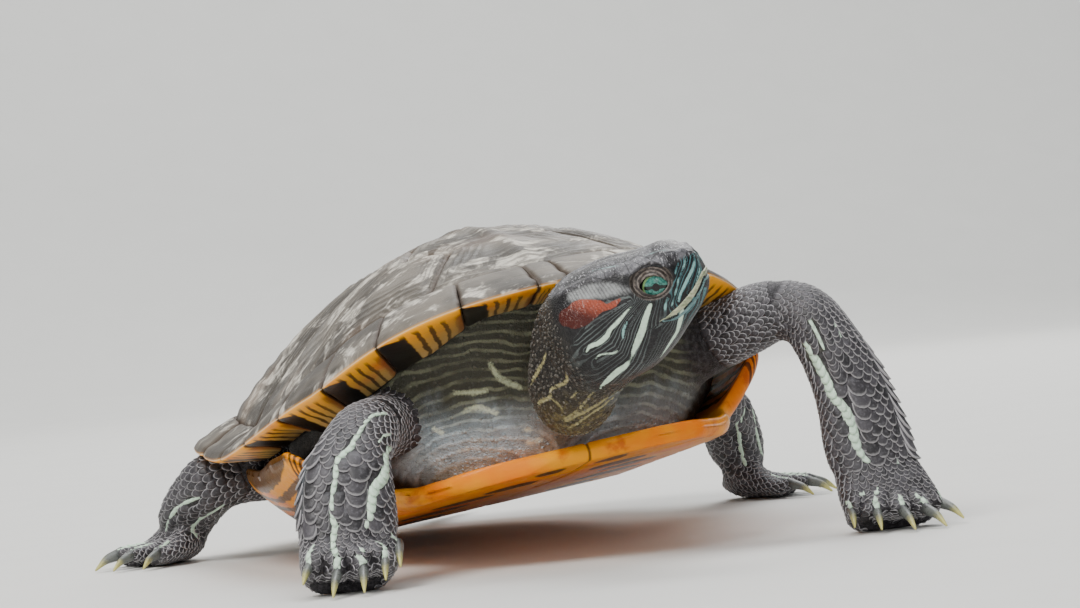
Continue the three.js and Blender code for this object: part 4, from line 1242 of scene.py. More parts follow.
def split_faces(mesh, chosen):
    """Cuts the chosen faces in four."""
    grid = bmesh.new()
    grid.from_mesh(mesh)
    grid.faces.ensure_lookup_table()
    faces = [grid.faces[i] for i in np.flatnonzero(chosen)]
    edges = list({edge for face in faces for edge in face.edges})
    bmesh.ops.subdivide_edges(grid, edges=edges, cuts=1, use_grid_fill=True)
    grid.to_mesh(mesh)
    grid.free()
    mesh.update()


def face_middles(mesh):
    return gather(mesh.polygons, "center") / MM


VOXEL = 0.92  # size of the cells that join the flesh into one skin
SOLE = 0.05  # lowest the feet's own shapes reach
WEB_HALF = 0.75  # half the thickness of the web between toes
CHEST_Y = -58  # the chest and the neck lie in front of this, towards -Y
FOOT_REACH = 17.0  # how far from its middle a foot is worked on
LIMBS = {"neck": Loft(NECK), "nape": Loft(NAPE), "tail": Loft(TAIL)}
for leg_name, parts in LEGS.items():
    for part in ("upper", "lower"):
        LIMBS[f"{leg_name}_{part}"] = Loft(parts[part])
    LIMBS[f"{leg_name}_palm"] = Loft(parts["palm"], 2.4, sole=SOLE)


# Where one part of the body runs into the next: [x, y, z, radius of the soft change].
JOINTS = [
    [-1, -104, 50, 12], [-4, -82, 44, 13], [-46, -60, 36, 11], [-48, -71, 38, 7], [38, -58, 49, 12],
    [58, -70, 58, 8], [-44, 54, 24, 12], [-69, 42, 24, 8], [41, 56, 32, 12], [66, 45, 32, 8],
    [-3, 86, 23, 11], [-80, 61, 9, 6], [80, 64, 10, 6], [-60, -93, 11, 6], [72, -86, 12, 6],
]


def joint_share(points):
    """How much each point is smoothed, 1 at the joints and 0 away from them."""
    share = np.zeros(len(points))
    for *place, reach in JOINTS:
        gap = np.linalg.norm(points - (np.array(place) + CENTRE_SHIFT), axis=1)
        share = np.maximum(share, ease(1.6 - gap / reach))
    return share


def web_mesh(first, second, share):
    """Thin web between two toes, with a hollowed free edge."""
    across, outward = 9, 6
    rows = []
    for t in np.linspace(0, 1, across):
        reach = share * (1 - 0.3 * math.sin(math.pi * t))
        root, far = [np.array(first[k]) * (1 - t) + np.array(second[k]) * t for k in (0, 1)]
        rows.append([root + (far - root) * reach * q for q in np.linspace(0, 1, outward)])
    sheet = np.array(rows).reshape(-1, 3) + CENTRE_SHIFT
    points = np.vstack([sheet + [0, 0, WEB_HALF], sheet - [0, 0, WEB_HALF]])
    points[:, 2] = np.maximum(points[:, 2], SOLE)
    return points, facing_out(points, sheet_faces(across, outward))


def shape_feet(points, normals):
    """Grooves between the toes, and a hollow under the front of a raised foot."""
    for leg in LEGS.values():
        lines = [np.array(toe[:2]) + CENTRE_SHIFT for toe in leg["toes"]]
        lines = [np.vstack([line, line[1] * 1.6 - line[0] * 0.6]) for line in lines]
        middle = np.mean([line[1] for line in lines], 0)
        near = np.flatnonzero(np.linalg.norm(points - middle, axis=1) < FOOT_REACH)
        gaps = np.sort([line_distance(points[near], line)[0] for line in lines], axis=0)
        groove = bump(gaps[1] - gaps[0], 1.5) * ease((7.5 - gaps[0]) / 3)
        groove *= ease((normals[near, 2] + 0.9) / 0.5)
        points[near] -= normals[near] * (1.2 * groove)[:, None]
        if leg["toes"][0][1][2] > 5:
            ahead = unit((middle - np.mean([line[0] for line in lines], 0)) * [1, 1, 0])
            front = (points[near] - middle) @ ahead
            under = ease((6.0 - points[near, 2]) / 4.2) * ease((front + 13) / 12)
            points[near] -= ahead * (4.6 * under)[:, None]
    points[:, 2] = np.maximum(points[:, 2], 0.02)
    return points


def thin_hidden(mesh):
    """Fewer faces inside an oval of the shell where nothing of the body is seen."""
    piece = add_object("thin", mesh)
    s = row_to_shell(mesh_arrays(mesh))
    ahead = np.where(s[:, 0] > 0, s[:, 0] / 68, -s[:, 0] / 76)
    inner = np.hypot(ahead, s[:, 1] / 52) < 1
    hidden = inner & (s[:, 2] > 2)
    group = piece.vertex_groups.new(name="hidden")
    group.add(np.flatnonzero(hidden).tolist(), 1.0, "REPLACE")
    thin = piece.modifiers.new("thin", "DECIMATE")
    thin.vertex_group = "hidden"
    thin.vertex_group_factor = 1000.0
    thin.ratio = 1 - 0.93 * hidden.mean()
    return worked_mesh(piece)


def rough_skin():
    """All the flesh as one closed surface, from the lofts."""
    parts = [head_mesh(), collar_mesh(-70, 70, 90), collar_mesh(102, 258, 80)]
    parts += [limb.mesh() for limb in LIMBS.values()]
    for name, leg in LEGS.items():
        toes = leg["toes"]
        parts += [Loft(toe_stations(toe), sole=SOLE).mesh(24) for toe in toes]
        share = 0.95 if "hind" in name else 0.75
        parts += [web_mesh(toes[k], toes[k + 1], share) for k in range(4)]
    points, faces = joined(parts)
    mesh = bpy.data.meshes.new("rough")
    mesh.from_pydata((points * MM).tolist(), [], faces)
    piece = add_object("rough", mesh)
    remesh = piece.modifiers.new("remesh", "REMESH")
    remesh.mode = "VOXEL"
    remesh.voxel_size = VOXEL * MM
    return worked_mesh(piece)


def chest_wave(points):
    """Running count, in radians, of the folds of the chest, sides and groin."""
    near = np.hypot((points[:, 0] + 21) * 0.8, (points[:, 2] - 19) * 1.15)
    far = np.hypot((points[:, 0] - 15) * 0.8, (points[:, 2] - 19) * 1.15)
    gap = np.where(points[:, 1] > 0, np.abs(points[:, 1]), np.minimum(near, far))
    return gap * 2.3 + 4.2 * rough_noise(points, 17.0, 41) + 1.6 * rough_noise(points, 5.0, 43)


def fold_skin(points, normals):
    """Soft folds of the chest and groin, and creases across the neck."""
    h = row_to_head(points)
    head = in_head(h, -36)
    loose = ease((limb_gap(points) - 1.0) / 3.0) * ~head
    neck = ease((-31 - h[:, 0]) / 5) * ease((-78 - points[:, 1]) / 12)
    strength = 0.6 + 0.5 * rough_noise(points, 9.0, 45)
    lift = 0.26 * np.sin(chest_wave(points)) * loose * (1 - neck) * strength
    crease = points[:, 1] * 1.75 + 2.6 * rough_noise(points, 11.0, 47)
    ridge = 1 - 2 * np.abs(np.sin(crease / 2)) ** 0.7
    lift -= 0.34 * np.maximum(ridge, 0) * neck * loose * strength
    lift += 0.12 * rough_noise(points, 2.6, 49) * np.maximum(neck, 0.4) * loose
    return points + normals * lift[:, None]


def near_eye(h):
    """Which places, in the head's frame, are round an eye or the nostrils."""
    folded = np.column_stack([h[:, 0], np.abs(h[:, 1]), h[:, 2]])
    beside = np.linalg.norm(folded - [-9.8, 9.4, 4.9], axis=1) < 6.6
    return beside | (np.linalg.norm(h - [0, 0, 6], axis=1) < 4.2)


def build_skin():
    """The skin's mesh: joined, smoothed, folded, then finer over the head and finest at the eyes."""
    mesh = thin_hidden(rough_skin())
    points = smooth_points(mesh_arrays(mesh), mesh_edges(mesh), 4, 0.35)
    points = smooth_points(points, mesh_edges(mesh), 70, 0.75 * joint_share(points))
    points = shape_feet(points, point_normals(points, mesh))
    set_points(mesh, fold_skin(points, point_normals(points, mesh)))
    for chosen in (lambda h: in_head(h, -37), near_eye):
        split_faces(mesh, chosen(row_to_head(face_middles(mesh))))
        points = mesh_arrays(mesh)
        nearby = in_head(row_to_head(points), -43).astype(float)
        set_points(mesh, smooth_points(points, mesh_edges(mesh), 3, 0.4 * nearby))
    set_points(mesh, shape_head(mesh_arrays(mesh)))
    return mesh


# Stripes of the legs in the limb's own coordinates, down the lower leg and on over the palm:
# (part, share of its length, angle round it in degrees on the right side, half-width).
FORE_STRIPES = [
    [("lower", 0.15, 303, 0.4), ("lower", 0.24, 285, 0.5), ("lower", 0.33, 282, 0.52),
     ("lower", 0.42, 279, 0.62), ("lower", 0.52, 272, 0.74), ("lower", 0.59, 260, 0.82),
     ("lower", 0.65, 258, 0.84), ("lower", 0.73, 255, 0.66), ("lower", 0.84, 251, 0.6),
     ("lower", 0.94, 252, 0.78), ("palm", 0.05, 255, 0.9), ("palm", 0.3, 253, 0.75),
     ("palm", 0.6, 252, 0.8), ("palm", 0.95, 253, 0.85)],
    [("lower", 0.32, 358, 0.4), ("lower", 0.4, 346, 1.0), ("lower", 0.47, 338, 1.2),
     ("lower", 0.56, 331, 1.35), ("lower", 0.62, 325, 1.4), ("lower", 0.68, 314, 1.3),
     ("lower", 0.73, 303, 1.25), ("lower", 0.79, 297, 1.3), ("lower", 0.88, 294, 1.3),
     ("lower", 0.95, 291, 0.95), ("palm", 0.03, 284, 0.6)],
    [("lower", 0.26, 334, 0.4), ("lower", 0.33, 324, 0.42), ("lower", 0.41, 317, 0.3)],
]
HIND_STRIPES = [
    [("lower", 0.2, 250, 0.4), ("lower", 0.45, 255, 0.6), ("lower", 0.7, 262, 0.6),
     ("lower", 0.95, 268, 0.6)],
    [("lower", 0.3, 200, 0.4), ("lower", 0.6, 205, 0.6), ("lower", 0.95, 215, 0.5)],
]


def side_angle(leg_name, degrees):
    return math.radians(degrees if leg_name.startswith("right") else 180 - degrees)


def leg_stripe_lines():
    """Every pale stripe of the legs, in the row's frame."""
    lines = []
    for leg_name, leg in LEGS.items():
        fore = leg_name.endswith("fore")
        for stripe in FORE_STRIPES if fore else HIND_STRIPES:
            rows = []
            for part, share, degrees, half in stripe:
                limb = LIMBS[f"{leg_name}_{part}"]
                spot = limb.point(np.array([share * limb.length[-1]]),
                                  np.array([side_angle(leg_name, degrees)]))[0]
                rows.append([*spot, half])
            lines.append(np.array(rows))
        for root, base, tip, half in leg["toes"]:
            root, base, tip = [np.array(p) + CENTRE_SHIFT for p in (root, base, tip)]
            rows = [[*(root + (base - root) * t + [0, 0, half * (0.95 - 0.15 * t)]), 0.8]
                    for t in (0.4, 0.75, 1.0)]
            rows.append([*(base + (tip - base) * 0.28 + [0, 0, half * 0.6]), 0.7])
            lines.append(np.array(rows))
    return lines


LEG_STRIPE_LINES = leg_stripe_lines()


# ---- eyes, beak and claws ----


def skin_tree(mesh):
    """Search tree of the skin, in metres."""
    mesh.calc_loop_triangles()
    corners = gather(mesh.loop_triangles, "vertices", 3, np.int32)
    return BVHTree.FromPolygons((mesh_arrays(mesh) * MM).tolist(), corners.tolist())


def settle(tree, guess):
    """Nearest point of the skin and its outward direction, for each guess."""
    spots, outs = [], []
    for p in guess:
        hit, normal, _, _ = tree.find_nearest(Vector(p * MM))
        spots.append(hit)
        outs.append(normal)
    return np.array(spots) / MM, np.array(outs)


def eye_piece(name, side, material):
    """The eyeball: a ball with a slightly domed front, marked out from its axis."""
    out, ahead, up = eye_axes(side)
    rows, around = 44, 56
    tilt = np.linspace(0, math.pi, rows + 1)[1:-1]
    t, a = [q.ravel() for q in np.meshgrid(tilt, loop_angles(around), indexing="ij")]
    r = EYE_R + CORNEA * np.exp(-((t / 0.5) ** 2))
    u = np.append(r * np.sin(t) * np.cos(a), [0, 0])
    v = np.append(r * np.sin(t) * np.sin(a), [0, 0])
    w = np.append(r * np.cos(t), [EYE_R + CORNEA, -EYE_R])
    local = EYE_AT * np.array([1, side, 1]) + np.outer(u, ahead) + np.outer(v, up) + np.outer(w, out)
    points = head_to_row(local)
    faces = facing_out(points, tube_faces(rows - 1, around))
    make_piece(name + "_ball", points, faces, material, (name,),
               {"across": u - GAZE[0], "upward": v - GAZE[1]})


def beak_piece(name, material, tree, low, high, proud):
    """Horn edge of one jaw, laid on the skin from one corner of the mouth round to the other."""
    side_x = np.concatenate([np.linspace(-11.9, -0.6, 60), np.linspace(-0.45, 0.6, 10)])
    path = [(x, 1.0) for x in side_x] + [(0.6, s) for s in np.linspace(0.9, -0.9, 31)]
    path += [(x, -1.0) for x in side_x[::-1]]
    around = 10
    ring = []
    for x, share in path:
        half, top, bottom = [float(v) for v in head_profile(x)]
        middle, tall = (top + bottom) / 2, (top - bottom) / 2
        base = float(mouth_height(x))
        taper = ease((x + 12.3) / 4.2)
        full = taper * (0.75 + 0.25 * math.exp(-(((x + 4.5) / 3.4) ** 2)))
        z0, z1 = base + low * taper, base + low * taper + (high - low) * full
        for q in loop_angles(around):
            z = (z0 + z1) / 2 + (z1 - z0) / 2 * math.sin(q)
            y = half * max(1 - abs((z - middle) / tall) ** HEAD_POWER, 0.0) ** (1 / HEAD_POWER)
            ring.append([x, share * y, z])
    spots, outs = settle(tree, head_to_row(np.array(ring)))
    q = np.tile(loop_angles(around), len(path))
    lift = np.where(np.cos(q) > -1e-6, 0.04 + proud * np.cos(q), -0.6)
    points = spots + outs * lift[:, None]
    faces = facing_out(points, flat_ended_faces(len(path), around))
    make_piece(name, points, faces, material, (), {})


CLAW_R, CLAW_TIP_R = 1.5, 0.35


def claw_points(base, tip):
    """Middle line of a claw, its radius and how far each spot is towards the tip."""
    base, tip = np.array(base, float), np.array(tip, float)
    mid = base + (tip - base) * 0.55 + [0, 0, 0.7]
    root = base - unit(tip - base) * 1.6
    keys = np.array([root, base, mid, tip])
    size = [CLAW_R * 0.9, CLAW_R * 0.95, CLAW_R * 0.66, CLAW_TIP_R * 0.75]
    spot = np.linspace(0, 3, 22)
    line = np.stack([catmull(spot, np.arange(4), keys[:, k]) for k in range(3)], 1)
    radius = catmull(spot, np.arange(4), size)
    return line + CENTRE_SHIFT, radius, np.clip((spot - 0.8) / 2.2, 0, 1)


def claws_piece(leg_name, material):
    """The five claws of one foot."""
    shapes, share = [], []
    around = 14
    angle = loop_angles(around)
    for _, base, tip, _ in LEGS[leg_name]["toes"]:
        line, radius, tips = claw_points(base, tip)
        tangent = unit(np.gradient(line, axis=0))
        across = unit(np.cross(tangent, [0, 0, 1]))
        above = np.cross(across, tangent)
        rings = [line[k] + radius[k] * (0.86 * np.outer(np.cos(angle), across[k])
                                        + np.outer(np.sin(angle), above[k])) for k in range(len(line))]
        body = np.vstack(rings + [line[:1], line[-1:] + tangent[-1:] * radius[-1] * 0.8])
        body[:, 2] = np.maximum(body[:, 2], 0.03)
        shapes.append((body, facing_out(body - body.mean(0), tube_faces(len(line), around))))
        share.append(np.append(np.repeat(tips, around), [0, 1]))
    points, faces = joined(shapes)
    make_piece(f"claws_{leg_name}", points, faces, material, (),
               {"tip": np.concatenate(share)})


# ---- scales ----

SCALE_ACROSS, SCALE_ALONG = 5, 4  # points across and along each scale
UV_HALF = 0.0015  # half the width of one scale's patch in the map


class ScaleCoat:
    """Gathers scales and granules, each one a closed body laid on the skin."""

    def __init__(self, tree, seed):
        self.tree = tree
        self.random = np.random.default_rng(seed)
        self.points, self.faces, self.uv = [], [], []
        self.rim, self.shade, self.bead = [], [], []
        self.count = 0
        self.middles = np.zeros((0, 3))

    def free(self, middle, reach):
        """Whether no scale lies within reach of this place yet; the place is then taken."""
        if len(self.middles) and np.min(np.sum((self.middles - middle) ** 2, 1)) < reach**2:
            return False
        self.middles = np.vstack([self.middles, middle])
        return True

    def put(self, points, faces, uv, rim, bead):
        """Stores one closed body with a shade of its own."""
        self.points.append(points)
        self.faces += [[f + self.count for f in face] for face in faces]
        self.uv.append(uv)
        self.rim.append(rim)
        self.shade.append(np.full(len(points), clamp(0.45 + 0.25 * self.random.normal())))
        self.bead.append(np.full(len(points), float(bead)))
        self.count += len(points)

    def add(self, middle, along, across, length, width, lift, root_uv, bead=0.0, thick=0.3, swell=0.07):
        """One scale: middle on the skin, pointing along, its far end lifted off the skin."""
        grid = np.meshgrid(np.linspace(0, 1, SCALE_ALONG), np.linspace(-1, 1, SCALE_ACROSS), indexing="ij")
        jj, ii = [q.ravel() for q in grid]
        far = clamp((jj - 0.45) / 0.55)
        shape = (0.9 + 0.1 * (1 - jj)) * (1 - 0.28 * far)
        reach = (jj - 0.5) * length - 0.2 * min(length, width * 1.2) * far * ii**2
        guess = middle + np.outer(reach, along) + np.outer(ii * shape * width / 2, across)
        spots, outs = settle(self.tree, guess)
        if np.min(outs @ unit(outs.mean(0))) < 0.55:
            return
        rise = 0.05 + lift * jj + swell * width * (1 - ii**2) * (0.4 + 0.6 * jj)
        top = spots + outs * rise[:, None]
        rim = grid_rim(SCALE_ALONG, SCALE_ACROSS)
        under = top[rim] - outs[rim] * thick
        faces = grid_faces(SCALE_ALONG, SCALE_ACROSS)
        n = SCALE_ALONG * SCALE_ACROSS
        for k, a in enumerate(rim):
            m = (k + 1) % len(rim)
            faces.append([rim[m], a, n + k, n + m])
        faces.append([n + k for k in range(len(rim))][::-1])
        if np.dot(np.cross(top[1] - top[0], top[SCALE_ACROSS] - top[0]), outs[0]) < 0:
            faces = [face[::-1] for face in faces]
        edge = np.minimum(1 - np.abs(ii), 1 - jj) * 2
        spread = np.column_stack([ii, jj * 2 - 1]) * UV_HALF
        self.put(np.vstack([top, under]), faces, np.vstack([root_uv + spread, root_uv + spread[rim]]),
                 np.append(edge, np.zeros(len(rim))), bead)

    def granule(self, spot, out, size, height, root_uv):
        """One low round granule."""
        side = unit(np.cross(out, [0.3, 0.2, 0.93]))
        other = np.cross(out, side)
        around = loop_angles(6) + self.random.uniform(0, 1)
        flat = np.column_stack([np.cos(around), np.sin(around)])
        ring = flat @ [side, other]
        upper = spot + ring * size * 0.62 + out * height * 0.75
        lower = spot + ring * size - out * 0.12
        points = np.vstack([[spot + out * height], upper, lower])
        faces = [[0, 1 + k, 1 + (k + 1) % 6] for k in range(6)]
        faces += [[1 + k, 7 + k, 7 + (k + 1) % 6, 1 + (k + 1) % 6] for k in range(6)]
        faces.append([12, 11, 10, 9, 8, 7])
        if np.dot(np.cross(points[1] - points[0], points[2] - points[0]), out) < 0:
            faces = [face[::-1] for face in faces]
        spread = np.vstack([[[0, 0]], flat * 0.6, flat]) * UV_HALF
        self.put(points, faces, root_uv + spread, np.array([1.0] + [0.7] * 6 + [0.0] * 6), 0.0)

    def make(self, name, material, extra=None):
        """Makes one piece of all that was gathered; extra works out more values at its points."""
        points = np.vstack(self.points)
        values = {"rim": np.concatenate(self.rim), "shade": np.concatenate(self.shade),
                  "bead": np.concatenate(self.bead)}
        if extra:
            values.update(extra(points))
        make_piece(name, points, self.faces, material, (), values, np.vstack(self.uv))


OVERLAP = 0.68  # distance between two rows of scales, as a share of their length


def limb_scales(coat, limb, start, end, tile, size_at, lift_at, stripes, near=2.2):
    """Rows of scales round a limb from start to end, shares of its length, like shingles.

    tile is the limb's share of the map: left, bottom, width and height.
    """
    total = limb.length[-1]
    s, stop = total * start, total * end
    angle = np.linspace(0, 2 * math.pi, 181)
    middle_angle = (angle[:-1] + angle[1:]) / 2
    row = 0
    while s < stop:
        ring = limb.point(np.full(181, s), angle)
        step = np.linalg.norm(np.diff(ring, axis=0), axis=1)
        length, width = size_at(s / total, np.degrees(middle_angle))
        run = np.concatenate([[0], np.cumsum(step / width)])
        count = max(int(round(run[-1])), 5)
        targets = (np.arange(count) + 0.5 * (row % 2) + 0.25) / count * run[-1]
        angles = np.interp(targets % run[-1], run, angle) + coat.random.normal(0, 0.025, count)
        spots = clamp(s + coat.random.normal(0, 0.1, count), 0.01, total - 0.01)
        middles = limb.point(spots, angles)
        ahead = limb.point(spots + 0.5, angles) - limb.point(spots - 0.5, angles)
        on_skin, outs = settle(coat.tree, middles)
        depth = np.sum((middles - on_skin) * outs, 1)
        hub = limb.point(spots, angles, -9.0)
        facing = np.sum(unit(middles - hub) * outs, 1)
        stripe = nearest_stripe(on_skin, stripes)
        pitch = float(np.min(length)) * OVERLAP
        for k in range(count):
            long_here, wide_here = [float(v[0]) for v in size_at(s / total, np.degrees([angles[k]]))]
            rows_here = max(int(round(long_here * OVERLAP / pitch)), 1)
            if row % rows_here or abs(depth[k]) > near or facing[k] < 0.35 or stripe[k] < 0.15:
                continue
            if on_skin[k, 2] < 0.7 or not coat.free(on_skin[k], 0.42 * min(long_here, wide_here)):
                continue
            along = unit(ahead[k] - outs[k] * (ahead[k] @ outs[k]))
            across = unit(np.cross(outs[k], along))
            uv = tile[:2] + np.array([angles[k] / (2 * math.pi) % 1.0, spots[k] / total]) * tile[2:]
            lift = lift_at(s / total, np.degrees(angles[k]) % 360)
            grow = 1 + coat.random.normal(0, 0.05)
            coat.add(on_skin[k], along, across, long_here * 1.25 * grow, wide_here * 1.04 * grow, lift, uv,
                     thick=0.3 + 0.2 * lift)
        s += pitch
        row += 1


def stripe_beads(coat, rows, uv, pitch=2.0):
    """Rounded pale scales one after another along a stripe."""
    line = smooth_line(rows)
    run = run_length(line[:, :3])
    count = max(int(run[-1] / pitch), 1)
    for k in range(count):
        at = (k + 0.5) / count * run[-1]
        spot = np.array([np.interp(at, run, line[:, c]) for c in range(4)])
        after = np.array([np.interp(at + 0.4, run, line[:, c]) for c in range(3)])
        before = np.array([np.interp(at - 0.4, run, line[:, c]) for c in range(3)])
        on_skin, out = settle(coat.tree, spot[None, :3])
        if on_skin[0, 2] < 0.5 or not coat.free(on_skin[0], 0.5):
            continue
        along = after - before
        along = unit(along - out[0] * (along @ out[0]))
        across = unit(np.cross(out[0], along))
        step = run[-1] / count
        place = np.array(uv) + [k / count * 0.02, 0.0]
        coat.add(on_skin[0], along, across, step * 1.2, spot[3] * 2.1, 0.16, place, bead=1.0, swell=0.13)


def fill_foot(coat, leg_name, lines):
    """Small scales wherever a foot is still bare, pointing towards its toes."""
    points, normals = coat.skin
    toes = np.array([toe[1] for toe in LEGS[leg_name]["toes"]]).mean(0) + CENTRE_SHIFT
    heel = LIMBS[f"{leg_name}_lower"].centre[-8]
    gap, where = line_distance(points, np.array([heel, toes]))
    near = np.flatnonzero((gap < FOOT_REACH) & (points[:, 2] > 0.5) & (points[:, 2] < heel[2]))
    near = near[nearest_stripe(points[near], lines) > 0.2]
    if leg_name.endswith("fore"):
        near = near[(points[near, 2] > 6.2) | (normals[near, 1] > -0.2)]
    claws = np.array([toe[2] for toe in LEGS[leg_name]["toes"]]) + CENTRE_SHIFT
    coat.random.shuffle(near)
    forward = unit(toes - heel + np.array([0, 0, -4.0]))
    for index in near:
        if np.min(np.linalg.norm(points[index] - claws, axis=1)) < 1.6 or not coat.free(points[index], 1.3):
            continue
        out = normals[index]
        along = forward - out * (forward @ out)
        if np.linalg.norm(along) < 0.2:
            along = np.cross(out, [1.0, 0.2, 0.1])
        along = unit(along)
        uv = np.array([0.02 + 0.95 * where[index], 0.8 + 0.09 * float(clamp(gap[index] / FOOT_REACH))])
        size = 1.8 * (1 + 0.12 * coat.random.normal())
        coat.add(points[index], along, unit(np.cross(out, along)), size * 1.15, size, 0.14, uv)


def fore_size(share, degrees):
    """Length and width of a foreleg's scales; degrees as on the right leg."""
    front = np.exp(-(((degrees - 284) / 26) ** 2)) * ease((share - 0.45) / 0.2)
    outer = np.exp(-(((degrees - 205) / 26) ** 2)) * ease((share - 0.3) / 0.2)
    near = ease((0.55 - share) / 0.4)
    length = 2.3 + 1.7 * front + 3.2 * outer - 0.5 * near
    width = 2.4 + 3.4 * front + 2.4 * outer - 0.5 * near
    return length, width


def fore_lift(share, degrees):
    """How far the far end of a foreleg's scale stands off the skin."""
    outer = math.exp(-(((degrees - 200) / 22) ** 2)) * float(ease((share - 0.35) / 0.2))
    return 0.08 + 0.12 * float(ease(share / 0.3)) + 1.0 * outer


def leg_scales(leg_name, tree, skin, seed):
    """All the scales of one leg: knee, lower leg, palm and toes, with beads along the stripes."""
    coat = ScaleCoat(tree, seed)
    coat.skin = skin
    right, fore = leg_name.startswith("right"), leg_name.endswith("fore")

    def mirrored_degrees(degrees):
        return (degrees if right else 180 - degrees) % 360

    def lower_size(share, degrees):
        if fore:
            return fore_size(share, mirrored_degrees(degrees))
        return 2.2 + 0.8 * share + 0 * degrees, 2.4 + 0.8 * share + 0 * degrees

    def even(length, width):
        return lambda share, degrees: (length + 0 * degrees, width + 0 * degrees)

    def lower_lift(share, degrees):
        return fore_lift(share, mirrored_degrees(degrees)) if fore else 0.22

    lines = [rows for rows in LEG_STRIPE_LINES if np.linalg.norm(
        rows[0, :3] - LIMBS[f"{leg_name}_palm"].centre[0]) < 45]
    for k, rows in enumerate(lines):
        stripe_beads(coat, rows, (0.02 + 0.12 * (k % 8), 0.9 + 0.02 * (k // 8)))
    parts = LEGS[leg_name]
    for part, start, end, tile, size_at, lift_at in (
            ("lower", 0.05, 1.0, (0.02, 0.02, 0.45, 0.4), lower_size, lower_lift),
            ("upper", 0.45, 1.0, (0.5, 0.02, 0.45, 0.4), even(1.9, 2.1), lambda share, degrees: 0.08),
            ("palm", 0.02, 0.97, (0.02, 0.45, 0.45, 0.2), even(1.9, 2.0), lambda share, degrees: 0.2)):
        limb_scales(coat, LIMBS[f"{leg_name}_{part}"], start, end, tile, size_at, lift_at, lines)
    for k, toe in enumerate(parts["toes"]):
        limb = Loft(toe_stations(toe), sole=SOLE)
        tile = (0.5 + 0.1 * k, 0.45, 0.09, 0.2)
        limb_scales(coat, limb, 0.1, 1.0, tile, even(1.5, 1.9), lambda share, degrees: 0.18, lines, 3.2)
    fill_foot(coat, leg_name, lines)
    coat.make(f"scales_{leg_name}", SCALE)


def tail_scales(tree):
    """Scales of the tail, smaller towards its tip."""
    coat = ScaleCoat(tree, 905)
    limb = LIMBS["tail"]

    def size_at(share, degrees):
        size = 2.3 - 1.3 * share + 0 * degrees
        return size, size

    limb_scales(coat, limb, 0.2, 0.99, (0.02, 0.02, 0.9, 0.9), size_at, lambda share, degrees: 0.15, [])
    coat.make("scales_tail", SCALE)


def neck_granules(points, tree, values):
    """Granules on the nape, the sides of the neck and the chest."""
    coat = ScaleCoat(tree, 77)
    shell = row_to_shell(points)
    nape = values["nape"] > 0.45
    chest = (points[:, 1] < CHEST_Y) & (values["limb"] < 0.3) & (values["face"] < 0.5) & ~nape
    chest &= (shell[:, 0] > 48) | (np.abs(shell[:, 1]) > 54)
    steps = list(itertools.product((-1, 0, 1), repeat=3))
    for zone, size, spacing, height in ((nape, 0.36, 0.8, 0.2), (chest, 0.42, 1.25, 0.16)):
        picked = np.flatnonzero(zone)
        coat.random.shuffle(picked)
        taken = {}
        for index in picked:
            p = points[index]
            x, y, z = [int(v) for v in p / spacing]
            others = [q for dx, dy, dz in steps for q in taken.get((x + dx, y + dy, z + dz), ())]
            if others and np.min(np.sum((np.array(others) - p) ** 2, 1)) < spacing**2:
                continue
            taken.setdefault((x, y, z), []).append(p)
            spot, out = settle(tree, (p + coat.random.normal(0, 0.28, 3))[None])
            p = spot[0]
            around = math.atan2(p[2] - 44, p[0] + 4) / (2 * math.pi) % 1.0
            uv = np.array([0.02 + 0.95 * around, 0.02 + 0.95 * clamp((p[1] + 125) / 80)])
            grow = float(clamp(1 + 0.35 * coat.random.normal(), 0.5, 1.6))
            coat.granule(p, out[0], size * grow, height * grow, uv)
    coat.make("granules_neck", GRANULE, paint)


# ---- markings ----

# Stripes of the head, in its own frame on both sides: [x, distance from the middle, z, half-width].
HEAD_STRIPES = [
    [[-11.3, 10.2, 2.3, 0.1], [-11.5, 10.3, 1.9, 0.25], [-12.5, 11.1, 0.9, 0.5], [-14.5, 11.7, -1.0, 0.7],
     [-16.1, 12.0, -2.8, 0.78], [-18.0, 12.2, -4.4, 0.85], [-20.1, 12.2, -6.0, 0.7],
     [-21.9, 11.8, -7.5, 0.65], [-24.2, 11.8, -8.4, 1.0], [-26.4, 11.9, -8.9, 0.95],
     [-29.1, 11.3, -10.0, 0.8], [-32.4, 9.6, -11.4, 0.3]],
    [[-6.4, 7.2, -3.4, 0.2], [-7.0, 7.3, -3.8, 0.5], [-8.7, 7.1, -5.6, 0.68], [-10.5, 6.8, -7.4, 0.62],
     [-12.7, 7.2, -8.8, 0.58], [-14.7, 7.2, -10.0, 0.4], [-16.9, 6.9, -11.2, 0.15]],
    [[-15.9, 12.2, 3.1, 0.12], [-18.0, 12.9, 2.3, 0.3], [-20.5, 13.6, 1.3, 0.45], [-22.2, 14.0, 0.8, 0.42],
     [-23.9, 14.3, -0.3, 0.6], [-26.3, 14.6, -0.8, 0.55], [-28.1, 14.6, -0.6, 0.45],
     [-29.6, 14.5, -1.4, 0.15]],
    [[-22.8, 13.5, -4.1, 0.15], [-24.1, 13.7, -4.5, 0.3], [-25.8, 14.1, -3.8, 0.26],
     [-27.3, 14.3, -3.4, 0.2], [-28.6, 14.2, -3.9, 0.1]],
]
